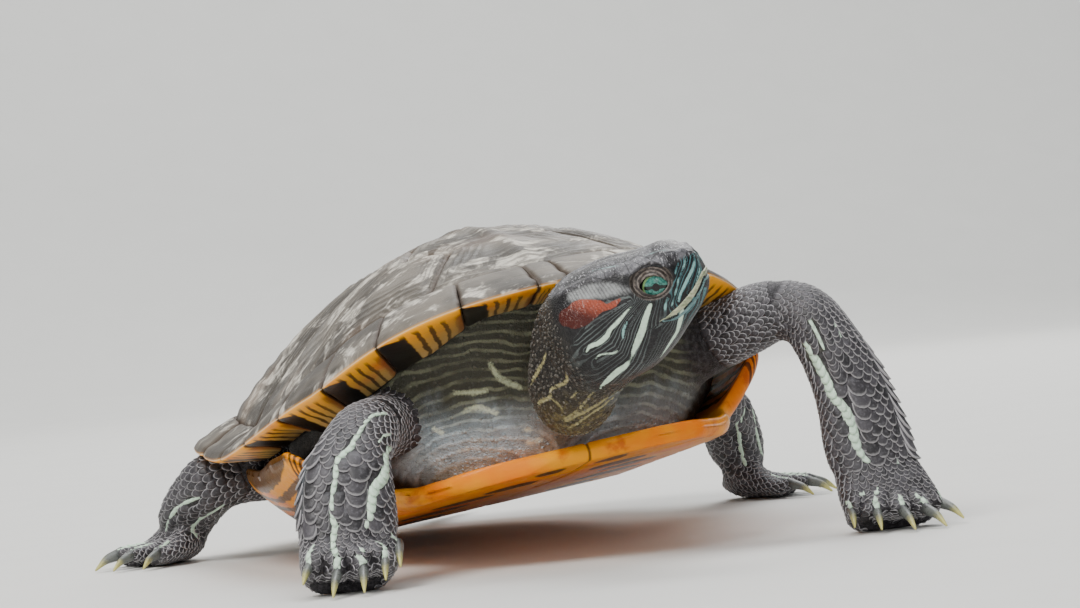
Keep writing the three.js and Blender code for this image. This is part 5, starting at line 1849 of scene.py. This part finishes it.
# Finer blue-green lines, the same way.
HEAD_LINES = [
    [[-14.2, 10.7, -4.1, 0.22], [-15.4, 10.7, -5.6, 0.38], [-17.5, 10.4, -7.4, 0.36],
     [-19.6, 9.9, -8.9, 0.15]],
    [[-18.0, 12.9, 0.6, 0.15], [-19.7, 13.3, -0.7, 0.32], [-20.7, 13.4, -2.3, 0.22]],
    [[-8.0, 9.7, 0.9, 0.16], [-8.8, 9.8, 0.0, 0.26], [-9.9, 9.7, -1.3, 0.3], [-10.8, 9.4, -2.6, 0.14]],
    [[-0.1, 1.1, 5.8, 0.14], [-0.3, 3.8, 4.2, 0.3], [-1.6, 5.2, 3.0, 0.36], [-3.3, 6.7, 1.7, 0.34],
     [-5.1, 7.9, 0.3, 0.3], [-6.5, 8.3, -1.1, 0.22]],
    [[-1.2, 4.3, 6.5, 0.1], [-2.2, 5.4, 5.1, 0.2], [-3.7, 7.2, 3.7, 0.26], [-5.3, 7.7, 2.1, 0.24],
     [-6.5, 8.9, 0.3, 0.2], [-8.1, 9.1, -1.2, 0.12]],
    [[0.5, 1.4, 4.6, 0.1], [0.2, 3.2, 2.6, 0.18], [-0.9, 4.6, 1.1, 0.2], [-2.3, 5.4, -0.2, 0.12]],
    [[-2.8, 5.9, 6.0, 0.08], [-4.2, 7.3, 4.9, 0.16], [-5.6, 7.8, 3.1, 0.2], [-7.0, 8.6, 1.2, 0.16]],
]
RED_PATCH = [
    [-30.2, 13.3, 7.6, 2.1], [-28.7, 13.8, 7.3, 3.0], [-26.1, 13.9, 7.2, 3.15], [-23.9, 13.7, 6.9, 2.35],
    [-22.0, 13.3, 6.4, 1.5], [-20.8, 13.2, 5.7, 0.75], [-19.0, 12.6, 5.5, 0.7], [-17.3, 12.0, 5.8, 0.25],
]
PALE_BAND = [
    [-27.2, 11.6, 11.2, 1.2], [-23.9, 11.8, 10.8, 1.9], [-20.2, 11.6, 9.5, 1.9], [-16.8, 11.3, 7.8, 1.2],
    [-14.6, 11.3, 6.4, 0.5],
]
CROWN_LINE = [
    [-21.8, 5.9, 13.6, 0.12], [-16.0, 6.8, 12.4, 0.16], [-10.7, 6.2, 11.7, 0.16], [-5.7, 5.5, 10.8, 0.14],
    [-2.6, 4.3, 9.7, 0.08],
]
# Edges that the fine lines of the face follow, from front to back: [count of lines, [x, y, z], ...].
FACE_FLOW = [
    [0, [0.5, 0.1, 5.3], [0.6, 2.0, 3.3], [-0.2, 3.8, 1.1], [-1.6, 4.9, -0.6]],
    [2] + [row[:3] for row in HEAD_LINES[3]],
    [4] + [row[:3] for row in HEAD_LINES[4]],
    [6, [-2.8, 5.7, 6.3], [-4.2, 7.3, 4.9], [-5.9, 7.5, 3.1], [-7.0, 8.0, 1.2], [-8.4, 9.7, 0.2],
     [-9.6, 9.8, -1.3], [-11.1, 9.4, -2.9]],
]
JAW_FLOW = [
    [0, [-1.2, 2.7, -2.4], [-4.9, 2.6, -6.2], [-8.5, 2.7, -8.4], [-13, 3.0, -10.8], [-19, 3.8, -13.1],
     [-27, 3.0, -14]],
    [2, [-4.2, 5.7, -3.4], [-7.0, 7.3, -3.8], [-8.7, 7.1, -5.6], [-10.5, 6.8, -7.4], [-12.7, 7.2, -8.8],
     [-16.7, 6.9, -11.2], [-22, 6.7, -13]],
    [7, [-10.8, 9.3, -3.5], [-14.2, 10.7, -4.1], [-15.4, 10.7, -5.6], [-17.5, 10.4, -7.4],
     [-19.6, 9.9, -8.9], [-23.3, 8.8, -11.2], [-27.4, 6.4, -13.2]],
]
CHEEK_FLOW = [
    [10, [-11.5, 10.3, 1.9], [-12.5, 11.1, 0.9], [-14.5, 11.7, -1.0], [-16.1, 12.0, -2.8],
     [-18.0, 12.2, -4.4], [-20.1, 12.2, -6.0], [-21.9, 11.8, -7.5], [-26.4, 11.9, -8.9],
     [-32.2, 9.6, -11.2]],
    [14, [-12.8, 11.5, 2.6], [-15.4, 12.1, 1.7], [-18.0, 12.9, 0.6], [-19.7, 13.3, -0.7],
     [-20.7, 13.4, -2.3], [-22.8, 13.5, -4.1], [-25.8, 14.1, -4.4], [-28.6, 14.2, -4.6]],
    [17, [-13.8, 11.7, 3.9], [-15.9, 12.2, 3.1], [-18.0, 12.9, 2.3], [-20.5, 13.6, 1.3],
     [-23.9, 14.3, -0.3], [-26.3, 14.6, -0.8], [-29.3, 14.5, -1.1]],
    [20, [-15.4, 11.8, 4.4], [-18.3, 12.7, 4.2], [-21.7, 13.8, 4.0], [-25.1, 14.7, 3.7],
     [-28.0, 14.9, 3.0], [-30.3, 14.6, 2.2]],
    [22, [-31.5, 13.8, 5.0], [-32.8, 13, 8], [-30.5, 12, 11]],
]
# Pale lines on the neck and throat, in the row's frame: [x, y, z, half-width].
NECK_LINES = [
    [[-12.6, -110.6, 51.6, 0.2], [-13.2, -109.4, 49.9, 0.45], [-13.9, -107.6, 48.2, 0.5],
     [-14.6, -104.5, 46.2, 0.5], [-15.0, -99.0, 43.8, 0.3]],
    [[-9.6, -116.0, 48.6, 0.2], [-9.4, -115.2, 45.8, 0.42], [-9.4, -113.6, 44.4, 0.45],
     [-10.5, -111.6, 43.7, 0.42], [-12.0, -109.1, 42.9, 0.4], [-12.2, -107.5, 41.0, 0.45],
     [-13.4, -103.8, 40.2, 0.5], [-14.4, -99.5, 38.6, 0.5], [-14.5, -97.0, 36.2, 0.4]],
    [[-12.2, -107.5, 41.0, 0.3], [-11.0, -108.5, 39.7, 0.36], [-9.9, -108.4, 38.0, 0.25]],
    [[-6.9, -114.0, 42.1, 0.25], [-8.1, -111.8, 40.4, 0.3]],
    [[5.6, -113.0, 44.0, 0.3], [2.4, -112.0, 41.4, 0.5], [-2.9, -110.5, 37.8, 0.5],
     [-7.4, -106.9, 35.4, 0.5], [-10.4, -101.5, 33.0, 0.6], [-12.2, -96.0, 31.4, 0.5]],
    [[5.6, -109.6, 41.0, 0.25], [1.0, -110.2, 38.6, 0.4], [-4.2, -107.4, 35.2, 0.45],
     [-8.0, -101.0, 32.2, 0.4]],
    [[-2.4, -117.3, 43.4, 0.3], [-4.1, -113.7, 40.8, 0.32], [-6.3, -109.9, 37.4, 0.35],
     [-9.4, -105.0, 35.2, 0.3]],
    [[6.4, -106.4, 39.0, 0.3], [4.4, -107.0, 36.0, 0.4], [1.0, -105.6, 33.4, 0.4],
     [-3.0, -101.0, 31.0, 0.4]],
]
# Pale worm-like marks on the chest, the same way.
CHEST_LINES = [
    [[-18.4, -73.9, 49.2, 0.5], [-17.1, -74.4, 46.3, 0.7], [-14.9, -75.2, 44.4, 0.7],
     [-12.0, -77.1, 42.9, 0.6]],
    [[-27.2, -70.1, 43.1, 0.4], [-23.0, -72.3, 42.7, 0.6], [-19.8, -73.6, 43.0, 0.5]],
    [[-25.7, -70.9, 38.1, 0.4], [-22.5, -72.6, 39.1, 0.6], [-18.0, -74.5, 37.2, 0.5]],
    [[-11.0, -75.0, 29.6, 0.9], [-8.5, -75.4, 30.0, 1.0]],
    [[-21.0, -71.2, 28.8, 0.5], [-17.1, -72.9, 28.7, 0.9]],
    [[-27.0, -68.3, 29.0, 0.4], [-24.9, -69.5, 29.5, 0.7]],
    [[-12.4, -75.4, 32.6, 0.5], [-10.6, -75.9, 32.8, 0.8]],
    [[-32.2, -66.0, 34.8, 0.5], [-30.5, -67.2, 33.6, 0.7]],
]


# Lower edge of the crown's grey, in the head's frame: places along it and the heights there.
CROWN_EDGE = ([-32, -24, -16, -12, -8, -4, -1, 1], [12.4, 12.2, 10.6, 9.2, 8.3, 7.0, 6.8, 6.2])
FAR = 20.0  # distance given to places far from any marking


def smooth_line(rows):
    """A finer line through given points."""
    rows = np.array(rows, float)
    spot = np.linspace(0, len(rows) - 1, (len(rows) - 1) * 3 + 1)
    return np.stack([catmull(spot, np.arange(len(rows)), rows[:, k]) for k in range(rows.shape[1])], 1)


def stripe_gap(points, rows):
    """Distance from the edge of a stripe of changing width; less than 0 inside."""
    line = smooth_line(rows)
    gap, where = line_distance(points, line[:, :3])
    run = run_length(line[:, :3])
    return gap - np.interp(where, run / run[-1], line[:, 3])


def nearest_stripe(points, stripes, within=24):
    """Distance from the edge of the nearest stripe whose middle is within reach of each point."""
    gap = np.full(len(points), FAR)
    for rows in stripes:
        middle = np.mean(np.array(rows)[:, :3], 0)
        near = np.linalg.norm(points - middle, axis=1) < within
        gap[near] = np.minimum(gap[near], stripe_gap(points[near], rows))
    return gap


def line_count(points, flow):
    """Number of the fine line through each point, running evenly from edge to edge."""
    gaps = np.stack([line_distance(points, edge[1:])[0] for edge in flow])
    counts = np.array([edge[0] for edge in flow], float)
    first = np.argmin(gaps, axis=0)
    index = np.arange(len(points))
    before = np.maximum(first - 1, 0)
    after = np.minimum(first + 1, len(flow) - 1)
    gap_before = np.where(first > 0, gaps[before, index], 1e9)
    gap_after = np.where(first < len(flow) - 1, gaps[after, index], 1e9)
    second = np.where(gap_before < gap_after, before, after)
    share = gaps[first, index] / (gaps[first, index] + gaps[second, index] + 1e-6)
    return counts[first] + (counts[second] - counts[first]) * share


def limb_gap(points):
    """Distance from the nearest side of a leg or the tail, less than 0 inside and at most 9."""
    best = np.full(len(points), 9.0)
    for name, limb in LIMBS.items():
        if name in ("neck", "nape"):
            continue
        near = np.linalg.norm(points - limb.centre.mean(0), axis=1) < limb.length[-1] / 2 + 22
        gap, where = line_distance(points[near], limb.centre)
        size = np.interp(where, limb.length / limb.length[-1], limb.half.max(1))
        best[near] = np.minimum(best[near], gap - size)
    return best


def head_marks(h, head):
    """Distances from the head's markings and the run of its fine lines, in the head's frame."""
    marks = {name: np.full(len(h), FAR) for name in ("mint", "teal", "red", "band")}
    marks["flow"] = np.zeros(len(h))
    p = np.column_stack([h[:, 0], np.abs(h[:, 1]), h[:, 2]])[head]
    marks["mint"][head] = nearest_stripe(p, HEAD_STRIPES)
    marks["teal"][head] = nearest_stripe(p, HEAD_LINES + [CROWN_LINE])
    marks["red"][head] = stripe_gap(p, RED_PATCH)
    marks["band"][head] = stripe_gap(p, PALE_BAND)
    below = p[:, 2] < mouth_height(p[:, 0]) - 0.2
    upper = line_count(p, FACE_FLOW + CHEEK_FLOW)
    lower = line_count(p, JAW_FLOW + CHEEK_FLOW)
    marks["flow"][head] = np.where(below, lower, upper)
    return marks


def neck_marks(points, h, head):
    """Distances from the gold lines of the neck and the pale marks of the chest."""
    side_x = np.where(points[:, 0] > 6.2, 2.6 - points[:, 0], points[:, 0])
    mirrored = np.column_stack([side_x, points[:, 1:]])
    in_front = points[:, 1] < CHEST_Y
    chest = in_front & (points[:, 1] > -96) & ~head
    gold, cream = np.full(len(points), FAR), np.full(len(points), FAR)
    gold[in_front] = nearest_stripe(mirrored[in_front], NECK_LINES)
    gold[head & (h[:, 2] > -12.5) & (h[:, 0] > -33)] = FAR
    cream[chest] = nearest_stripe(mirrored[chest], CHEST_LINES)
    return gold, cream


def paint(points):
    """Markings and zones of the skin at each point, as plain numbers for the materials."""
    h = row_to_head(points)
    head = in_head(h, -41)
    values = head_marks(h, head)
    values["mint"] = np.minimum(values["mint"], nearest_stripe(points, LEG_STRIPE_LINES, within=34))
    values["gold"], values["cream"] = neck_marks(points, h, head)
    nape = ease((-30 - h[:, 0]) / 7) * ease((points[:, 1] * -1 - 88) / 8)
    nape = np.maximum(nape, ease((-24 - h[:, 0]) / 5) * ease((-h[:, 2] - 9) / 4) * head)
    ridge = np.interp(h[:, 0], *CROWN_EDGE)
    orbit = np.full(len(points), 9.0)
    for side in (-1, 1):
        mine = head & (h[:, 1] * side > 0)
        orbit[mine] = eye_coordinates(h[mine], side)[1]
    limb = np.where(points[:, 2] < 13, 1.0, ease((1.5 - limb_gap(points)) / 2.5))
    values.update({"crown": ease((h[:, 2] - ridge + 0.5) / 1.0) * head, "orbit": orbit, "limb": limb,
                   "nape": clamp(nape * (1 - limb)), "face": head.astype(float),
                   "fold": chest_wave(points),
                   "throat": ease((44 - points[:, 2]) / 11) * ease((-84 - points[:, 1]) / 10),
                   "low": clamp((8 - h[:, 2]) / 5, -1, 1),
                   "hatch": h[:, 0] + 0.25 * h[:, 2]})
    return values


# ---- flesh, eye, beak and claw materials ----


def marking_group():
    """Lays one marking over a colour, inside an edge that is slightly ragged."""
    tree, n, given, out = new_group(
        "marking",
        [("Place", VECTOR, None), ("Under", COLOUR, rgb("303030")), ("Marking", COLOUR, rgb("c8e0c8")),
         ("Distance", FLOAT, 5.0), ("Softness", FLOAT, 0.12), ("Ragged", FLOAT, 0.12),
         ("Amount", FLOAT, 1.0)],
        [("Color", COLOUR)])
    mask = n.group(RAGGED, Place=given["Place"], Distance=given["Distance"], Softness=given["Softness"],
                   Ragged=given["Ragged"], Grain=1500.0)["Mask"]
    mask = n.times(mask, given["Amount"])
    n.feed(out["Color"], n.mix(mask, given["Under"], given["Marking"]))
    return tree


MARKING = marking_group()


def mark(n, place, under, tone, name, soft, ragged, amount):
    """Lays the marking of this name over a colour."""
    return n.group(MARKING, Place=place, Under=under, Marking=tone, Distance=n.attribute(name),
                   Softness=soft, Ragged=ragged, Amount=amount)["Color"]


def chest_colour(n, place, coarse, fine):
    """Olive grey above, darkened as painted shade under the shell, to pale grey below, painted as lit, with
    patches of painted pale haze and wavy pale folds; gives the folds' height too.
    """
    axes = n.add("ShaderNodeSeparateXYZ")
    n.feed(axes.inputs[0], place)
    # low is 0 high up and 1 near the plastron; the chest's dark-to-pale change along it is painted shade
    # under the shell above and painted light below.
    low = n.step(n.plus(axes.outputs[2], n.times(coarse, 0.02)), 0.054, 0.035)
    chest = n.mix(low, "403f35", "a3b0b7")
    ripple = n.step(n.sine(n.plus(n.attribute("fold"), n.times(fine, 1.6))), 0.0, 0.95)
    ripple = n.times(ripple, n.step(n.noise(place, 120.0, 2.0), 0.35, 0.6, 0.25, 1.0))
    chest = n.mix(n.times(ripple, 0.8), chest, n.mix(low, "7d7f66", "d3e3ec"))
    # Pale patches low down are a painted haze of light.
    chest = n.mix(n.times(n.step(coarse, 0.5, 0.68), n.times(low, 0.7)), chest, "dceaf0")
    chest = n.blend(fine, 0.5, 0.7, chest, "4c4d44", 0.45)
    chest = mark(n, place, chest, n.mix(low, "c3caa6", "f4f6e6"), "cream", 0.4, 0.5, 0.85)
    flank = n.blend(fine, 0.35, 0.7, "1d1b19", "3a3833")
    chest = n.blend(axes.outputs[1], -0.058, -0.048, chest, flank)
    return chest, n.times(ripple, n.times(low, 0.8))


def neck_colour(n, place, coarse, fine):
    """Brown black with pale specks; yellow brown at the throat."""
    throat = n.attribute("throat")
    neck = n.blend(fine, 0.4, 0.7, "1a1714", "38322b")
    neck = n.blend(n.noise(place, 2600.0, 2.0, 0.7), 0.62, 0.74, neck, "7d766c", 0.45)
    neck = n.mix(n.times(throat, n.step(coarse, 0.3, 0.7, 0.2, 0.85)), neck, "54472a")
    streak = n.step(n.noise(n.stretch(place, (1.0, 1.0, 0.2)), 800.0, 3.0), 0.52, 0.62)
    return n.mix(n.times(n.times(streak, throat), 0.6), neck, "8a7c4e")


def charcoal_face(n, coarse, fine):
    """Dark skin of the face with fine curved lines; gives the lines too."""
    dark = n.blend(fine, 0.35, 0.7, "0d0c0d", "211f21")
    flow = n.attribute("flow")
    line = n.sine(n.times(n.plus(flow, n.times(n.minus(fine, 0.5), 0.3)), 9.0))
    line = n.times(n.step(line, 0.35, 0.95), n.step(flow, 20.5, 20.1))
    front = n.step(n.attribute("hatch"), -13.0, -6.0)
    tint = n.mix(front, "727c7a", "4c7c80")
    patchy = n.step(coarse, 0.32, 0.6, 0.35, 1.0)
    strength = n.times(patchy, n.step(front, 0.0, 1.0, 0.55, 0.95))
    return n.mix(n.times(line, strength), dark, tint), line


def crown_colour(n, place, coarse, fine):
    """Shiny grey top of the head, with pale streaks painted as glints, and fine cracks."""
    shine = n.blend(coarse, 0.42, 0.58, "272528", "656468")
    shine = n.blend(fine, 0.5, 0.68, shine, "1f1d1f", 0.7)
    # Pale streaks painted as glints of light on the crown.
    painted_glints = n.noise(n.stretch(place, (3.2, 1.0, 1.0)), 900.0, 4.0, 0.7)
    shine = n.blend(painted_glints, 0.55, 0.68, shine, "c6c5c7", 0.85)
    cracks = n.step(n.cells(n.stretch(place, (1.0, 0.6, 1.0)), 330.0), 0.07, 0.01, 0.0, 0.75)
    return n.mix(n.times(cracks, n.step(coarse, 0.36, 0.5)), shine, "181617")


def orbit_colour(n, orbit, fine):
    """Wrinkled brown ring round the eye, with painted shade in the creases of its wrinkles and pale lines
    between them.
    """
    ring = n.blend(fine, 0.4, 0.65, "3a322f", "6b625b")
    wrinkle = n.sine(n.plus(n.times(orbit, 34.0), n.times(fine, 5.0)))
    # Dark lines painted as shade in the wrinkles' creases.
    ring = n.blend(wrinkle, 0.2, 0.9, ring, "1d1816", 0.7)
    return n.blend(wrinkle, -0.7, -0.95, ring, "948a80", 0.6)


def red_tone(n, place, coarse, hatching):
    """Brick red of the ear patch, darker behind, hatched and dusted with pale grey."""
    rear = n.plus(n.attribute("hatch"), n.times(n.minus(coarse, n.attribute("low")), 4.0))
    tone = n.mix(n.times(n.step(rear, -19.5, -25.0), 0.94), "9c4329", "3c0903")
    tone = n.mix(n.times(hatching, 0.5), tone, "3a120c")
    dust = n.noise(n.stretch(place, (1.0, 1.0, 0.3)), 1500.0, 3.0, 0.7)
    return n.blend(dust, 0.56, 0.72, tone, "a98f86", 0.5)


def flesh_colours(n, place):
    """Colour of the flesh with all its markings, its gloss and a height; skin and granules share it."""
    coarse = n.noise(place, 140.0, 4.0, 0.6)
    fine = n.noise(place, 900.0, 4.0, 0.65)
    face, nape, crown, orbit = n.attributes("face", "nape", "crown", "orbit")
    chest, ripple = chest_colour(n, place, coarse, fine)
    leg = n.blend(fine, 0.35, 0.7, "1f1d1f", "464347")
    neck = neck_colour(n, place, coarse, fine)
    colour = n.mix(nape, n.mix(n.attribute("limb"), chest, leg), neck)
    lined, line = charcoal_face(n, coarse, fine)
    head = n.mix(nape, lined, neck)
    hatching = n.sine(n.times(n.plus(n.attribute("hatch"), n.times(fine, 0.9)), 8.5))
    hatching = n.times(n.step(hatching, -0.2, 0.8), n.step(coarse, 0.3, 0.6, 0.3, 1.0))
    band = n.mix(n.times(hatching, 0.75), "989a99", "3c3b3d")
    band = n.blend(coarse, 0.4, 0.62, band, "555456", 0.6)
    head = mark(n, place, head, band, "band", 0.7, 0.7, 0.85)
    head = n.mix(crown, head, crown_colour(n, place, coarse, fine))
    eye_gap = n.plus(orbit, n.times(crown, 0.14))
    head = n.blend(eye_gap, 1.04, 0.92, head, orbit_colour(n, orbit, fine))
    colour = n.mix(face, colour, head)
    thin = n.times(n.step(nape, 0.6, 0.1), 0.85)
    colour = mark(n, place, colour, "8fbdb8", "teal", 0.12, 0.12, thin)
    colour = mark(n, place, colour, red_tone(n, place, coarse, hatching), "red", 0.18, 0.22, 0.95)
    colour = mark(n, place, colour, "a39a6c", "gold", 0.2, 0.3, 0.9)
    mint = n.blend(fine, 0.42, 0.7, "cfe6cf", "9fb8a0", 0.5)
    colour = mark(n, place, colour, mint, "mint", 0.12, 0.14, 0.97)
    gloss = n.mix(face, (0.62, 0.62, 0.62, 1.0), (0.42, 0.42, 0.42, 1.0))
    rough = n.minus(gloss, n.times(n.step(fine, 0.4, 0.7), 0.1))
    return colour, rough, n.plus(n.times(line, n.times(face, 0.12)), ripple)


def skin_material():
    """Flesh: striped head, granular neck, folded chest and dark limbs."""
    n = new_material("flesh_skin")
    place = n.place()
    colour, rough, height = flesh_colours(n, place)
    grain = n.group(SKIN_GRAIN, Place=place, Size=1500.0, Creases=1.0)["Height"]
    grain = n.times(grain, n.step(n.attribute("face"), 0.0, 1.0, 1.0, 0.45))
    return surface(n, colour, rough, n.plus(grain, height), 0.00016, 0.8, Specular_IOR_Level=0.35)


def scale_material():
    """Limb scales: dark with a pale worn edge, and mint where they are beads of a stripe."""
    n = new_material("limb_scale")
    place = n.place()
    rim, shade, bead = n.attributes("rim", "shade", "bead")
    fine = n.noise(place, 1300.0, 4.0, 0.65)
    dark = n.mix(shade, "1a181a", "434044")
    dark = n.blend(fine, 0.45, 0.72, dark, "68656a", 0.6)
    pale_rim = n.step(n.plus(rim, n.times(n.minus(fine, 0.5), 0.35)), 0.34, 0.02, 0.0, 0.85)
    colour = n.mix(pale_rim, dark, "aba8aa")
    mint = n.blend(fine, 0.42, 0.7, "cfe6cf", "a2bba4", 0.5)
    colour = n.mix(bead, colour, mint)
    return surface(n, colour, n.step(fine, 0.3, 0.7, 0.42, 0.6), fine, 0.00015, 0.6)


def granule_material():
    """Small raised granules of the nape, neck and chest, with painted light on their tops, less on the chest.
    """
    n = new_material("granule")
    place = n.place()
    colour, rough, _ = flesh_colours(n, place)
    lit = n.times(n.step(n.attribute("rim"), 0.2, 0.9), n.attribute("shade"))
    lit = n.times(lit, n.step(n.attribute("nape"), 0.0, 1.0, 0.25, 1.0))
    colour = n.mix(n.times(lit, 0.5), colour, "968e82")
    return surface(n, colour, rough)


def eye_material():
    """Glossy teal iris with a yellow-green rim, a black pupil and a dark bar across."""
    n = new_material("turtle_eye")
    across, upward = n.attributes("across", "upward")
    place = n.place()
    fine = n.noise(place, 1800.0, 3.0, 0.6)
    reach = n.hypot(across, upward)
    iris = n.blend(fine, 0.35, 0.65, "2b655c", "4f8b7e")
    vein = n.step(n.noise(place, 1100.0, 2.0, 0.5, 1.5), 0.52, 0.64, 0.0, 0.6)
    iris = n.mix(vein, iris, "173f38")
    rim = n.times(n.step(reach, 2.45, 2.75), n.step(n.minus(upward, across), -0.5, 1.8))
    iris = n.mix(n.times(rim, 0.6), iris, "7f9444")
    iris = n.blend(reach, 2.95, 3.15, iris, "0d100e")
    thick = n.plus(0.36, n.times(n.minus(n.noise(place, 700.0, 2.0), 0.5), 0.7))
    bar_gap = n.minus(n.math("ABSOLUTE", n.plus(upward, 0.05)), thick)
    bar = n.times(n.step(bar_gap, 0.12, -0.08), n.step(reach, 3.0, 2.6))
    iris = n.mix(n.times(bar, 0.95), iris, "070908")
    iris = n.blend(reach, 0.98, 0.84, iris, "020202")
    return surface(n, iris, 0.12, Specular_IOR_Level=0.2, Coat_Weight=0.4, Coat_Roughness=0.02)


def beak_material(name, tone, deep):
    """Smooth horn of a jaw's cutting edge, streaked along it."""
    n = new_material(name)
    place = n.place()
    fine = n.noise(place, 1500.0, 4.0, 0.65)
    streak = n.noise(n.stretch(place, (1.0, 1.0, 2.5)), 600.0, 3.0, 0.6)
    colour = n.blend(streak, 0.35, 0.7, tone, deep)
    colour = n.blend(fine, 0.6, 0.75, colour, "e3e0cc", 0.5)
    return surface(n, colour, n.step(fine, 0.3, 0.7, 0.25, 0.4), fine, 0.0001, 0.5)


def claw_material():
    """Claw horn: dark grey at the root, yellowish at the tip, ridged lengthways."""
    n = new_material("claw_horn")
    place = n.place()
    tip = n.attribute("tip")
    fine = n.noise(place, 1400.0, 4.0, 0.65)
    reach = n.plus(tip, n.times(n.minus(fine, 0.5), 0.3))
    colour = n.blend(reach, 0.45, 0.85, "5f625e", "bcb66c")
    colour = n.blend(reach, 0.3, 0.05, colour, "3c3d3c")
    return surface(n, colour, n.step(fine, 0.3, 0.7, 0.24, 0.42), fine, 0.00012, 0.5)


# ---- floor, lights and camera ----


def studio():
    """Plain pale floor, curving up behind, and soft lights; none of it is part of the turtle."""
    mesh = bpy.data.meshes.new("floor")
    bend = [(-3.0, 0.0), (1.4, 0.0)]
    bend += [(1.4 + 0.8 * math.sin(t), 0.8 - 0.8 * math.cos(t)) for t in np.linspace(0.1, math.pi / 2, 14)]
    bend.append((2.2, 3.2))
    points = [(side * 4.0, y, z) for y, z in bend for side in (-1, 1)]
    faces = [(2 * k, 2 * k + 1, 2 * k + 3, 2 * k + 2) for k in range(len(bend) - 1)]
    mesh.from_pydata(points, [], faces)
    mesh.polygons.foreach_set("use_smooth", [True] * len(faces))
    n = new_material("floor_paper")
    mesh.materials.append(surface(n, n.mix(n.noise(n.place(), 30.0), "d2d1cd", "d8d7d3"), 0.8))
    add_object("floor", mesh)
    lights = [
        ("key", (-0.75, -0.55, 1.15), (0, 0, 0.04), 0.8, 20.0, (1.0, 0.98, 0.95)),
        ("sky", (0.25, 0.1, 1.5), (0, 0, 0.04), 1.4, 14.0, (0.94, 0.97, 1.0)),
        ("front", (-0.1, -1.5, 0.5), (0, 0, 0.04), 0.9, 6.0, (1.0, 1.0, 1.0)),
        ("back", (0.6, 1.2, 0.8), (0, 0, 0.04), 0.8, 7.0, (1.0, 0.99, 0.97)),
        ("wall", (0.3, 0.9, 2.2), (0.3, 2.2, 0.9), 1.5, 45.0, (0.97, 0.99, 1.0)),
    ]
    for name, place, target, size, power, colour in lights:
        lamp = bpy.data.lights.new(name, "AREA")
        lamp.shape = "DISK"
        lamp.size = size
        lamp.energy = power
        lamp.color = colour
        piece = add_object(name, lamp)
        piece.location = place
        piece.rotation_euler = (Vector(target) - Vector(place)).to_track_quat("-Z", "Y").to_euler()
    world = bpy.data.worlds.new("studio")
    world.use_nodes = True
    back = world.node_tree.nodes["Background"]
    back.inputs["Color"].default_value = (0.86, 0.89, 0.93, 1)
    back.inputs["Strength"].default_value = 0.34
    bpy.context.scene.world = world


def camera():
    """Long lens low in front of the turtle's right side, rolled with the stance."""
    place = (np.array([-186.38, -865.75, 68.62]) + CENTRE_SHIFT) * MM
    across = np.array([0.97046, -0.22255, -0.09315])
    back = np.array([-0.22283, -0.97483, 0.00745])
    up = np.cross(back, across)
    lens = bpy.data.cameras.new("camera")
    lens.lens = 111.72
    lens.sensor_width = 36
    lens.clip_start = 0.01
    lens.clip_end = 20
    eye = add_object("camera", lens)
    turning = Matrix([list(row) for row in np.stack([across, up, back], 1)])
    eye.matrix_world = Matrix.Translation(Vector(place)) @ turning.to_4x4()
    bpy.context.scene.camera = eye


# ---- put together ----

CARAPACE = carapace_material()
MARGINAL = marginal_material()
PLASTRON = plastron_material()
SKIN, SCALE, GRANULE = skin_material(), scale_material(), granule_material()
EYE, CLAW = eye_material(), claw_material()
UPPER_BEAK = beak_material("upper_beak", "b3b596", "76805f")
LOWER_BEAK = beak_material("lower_beak", "6d8f90", "49686b")


def skin_piece():
    """The one skin over all the flesh; gives its mesh and its markings back for the scales."""
    mesh = build_skin()
    values = paint(mesh_arrays(mesh))
    flesh = ["head", "lower_jaw", "neck", "trunk", "tail"]
    flesh += [f"{leg}_{part}" for leg in LEGS for part in ("upper", "lower", "foot")]
    dress("skin", mesh, SKIN, flesh, values)
    return mesh, values


skin_mesh, skin_values = skin_piece()
eye_piece("eye_right", -1, EYE)
eye_piece("eye_left", 1, EYE)
tree = skin_tree(skin_mesh)
beak_piece("upper_beak_edge", UPPER_BEAK, tree, -0.15, 1.75, 0.16)
beak_piece("lower_beak_edge", LOWER_BEAK, tree, -1.15, -0.3, 0.06)
skin_points = mesh_arrays(skin_mesh)
skin = (skin_points, point_normals(skin_points, skin_mesh))
for seed, leg_name in enumerate(LEGS):
    leg_scales(leg_name, tree, skin, 500 + seed)
tail_scales(tree)
neck_granules(skin_points, tree, skin_values)
for leg_name in LEGS:
    claws_piece(leg_name, CLAW)
dome_plates()
rim_plates()
plastron_piece()
studio()
camera()
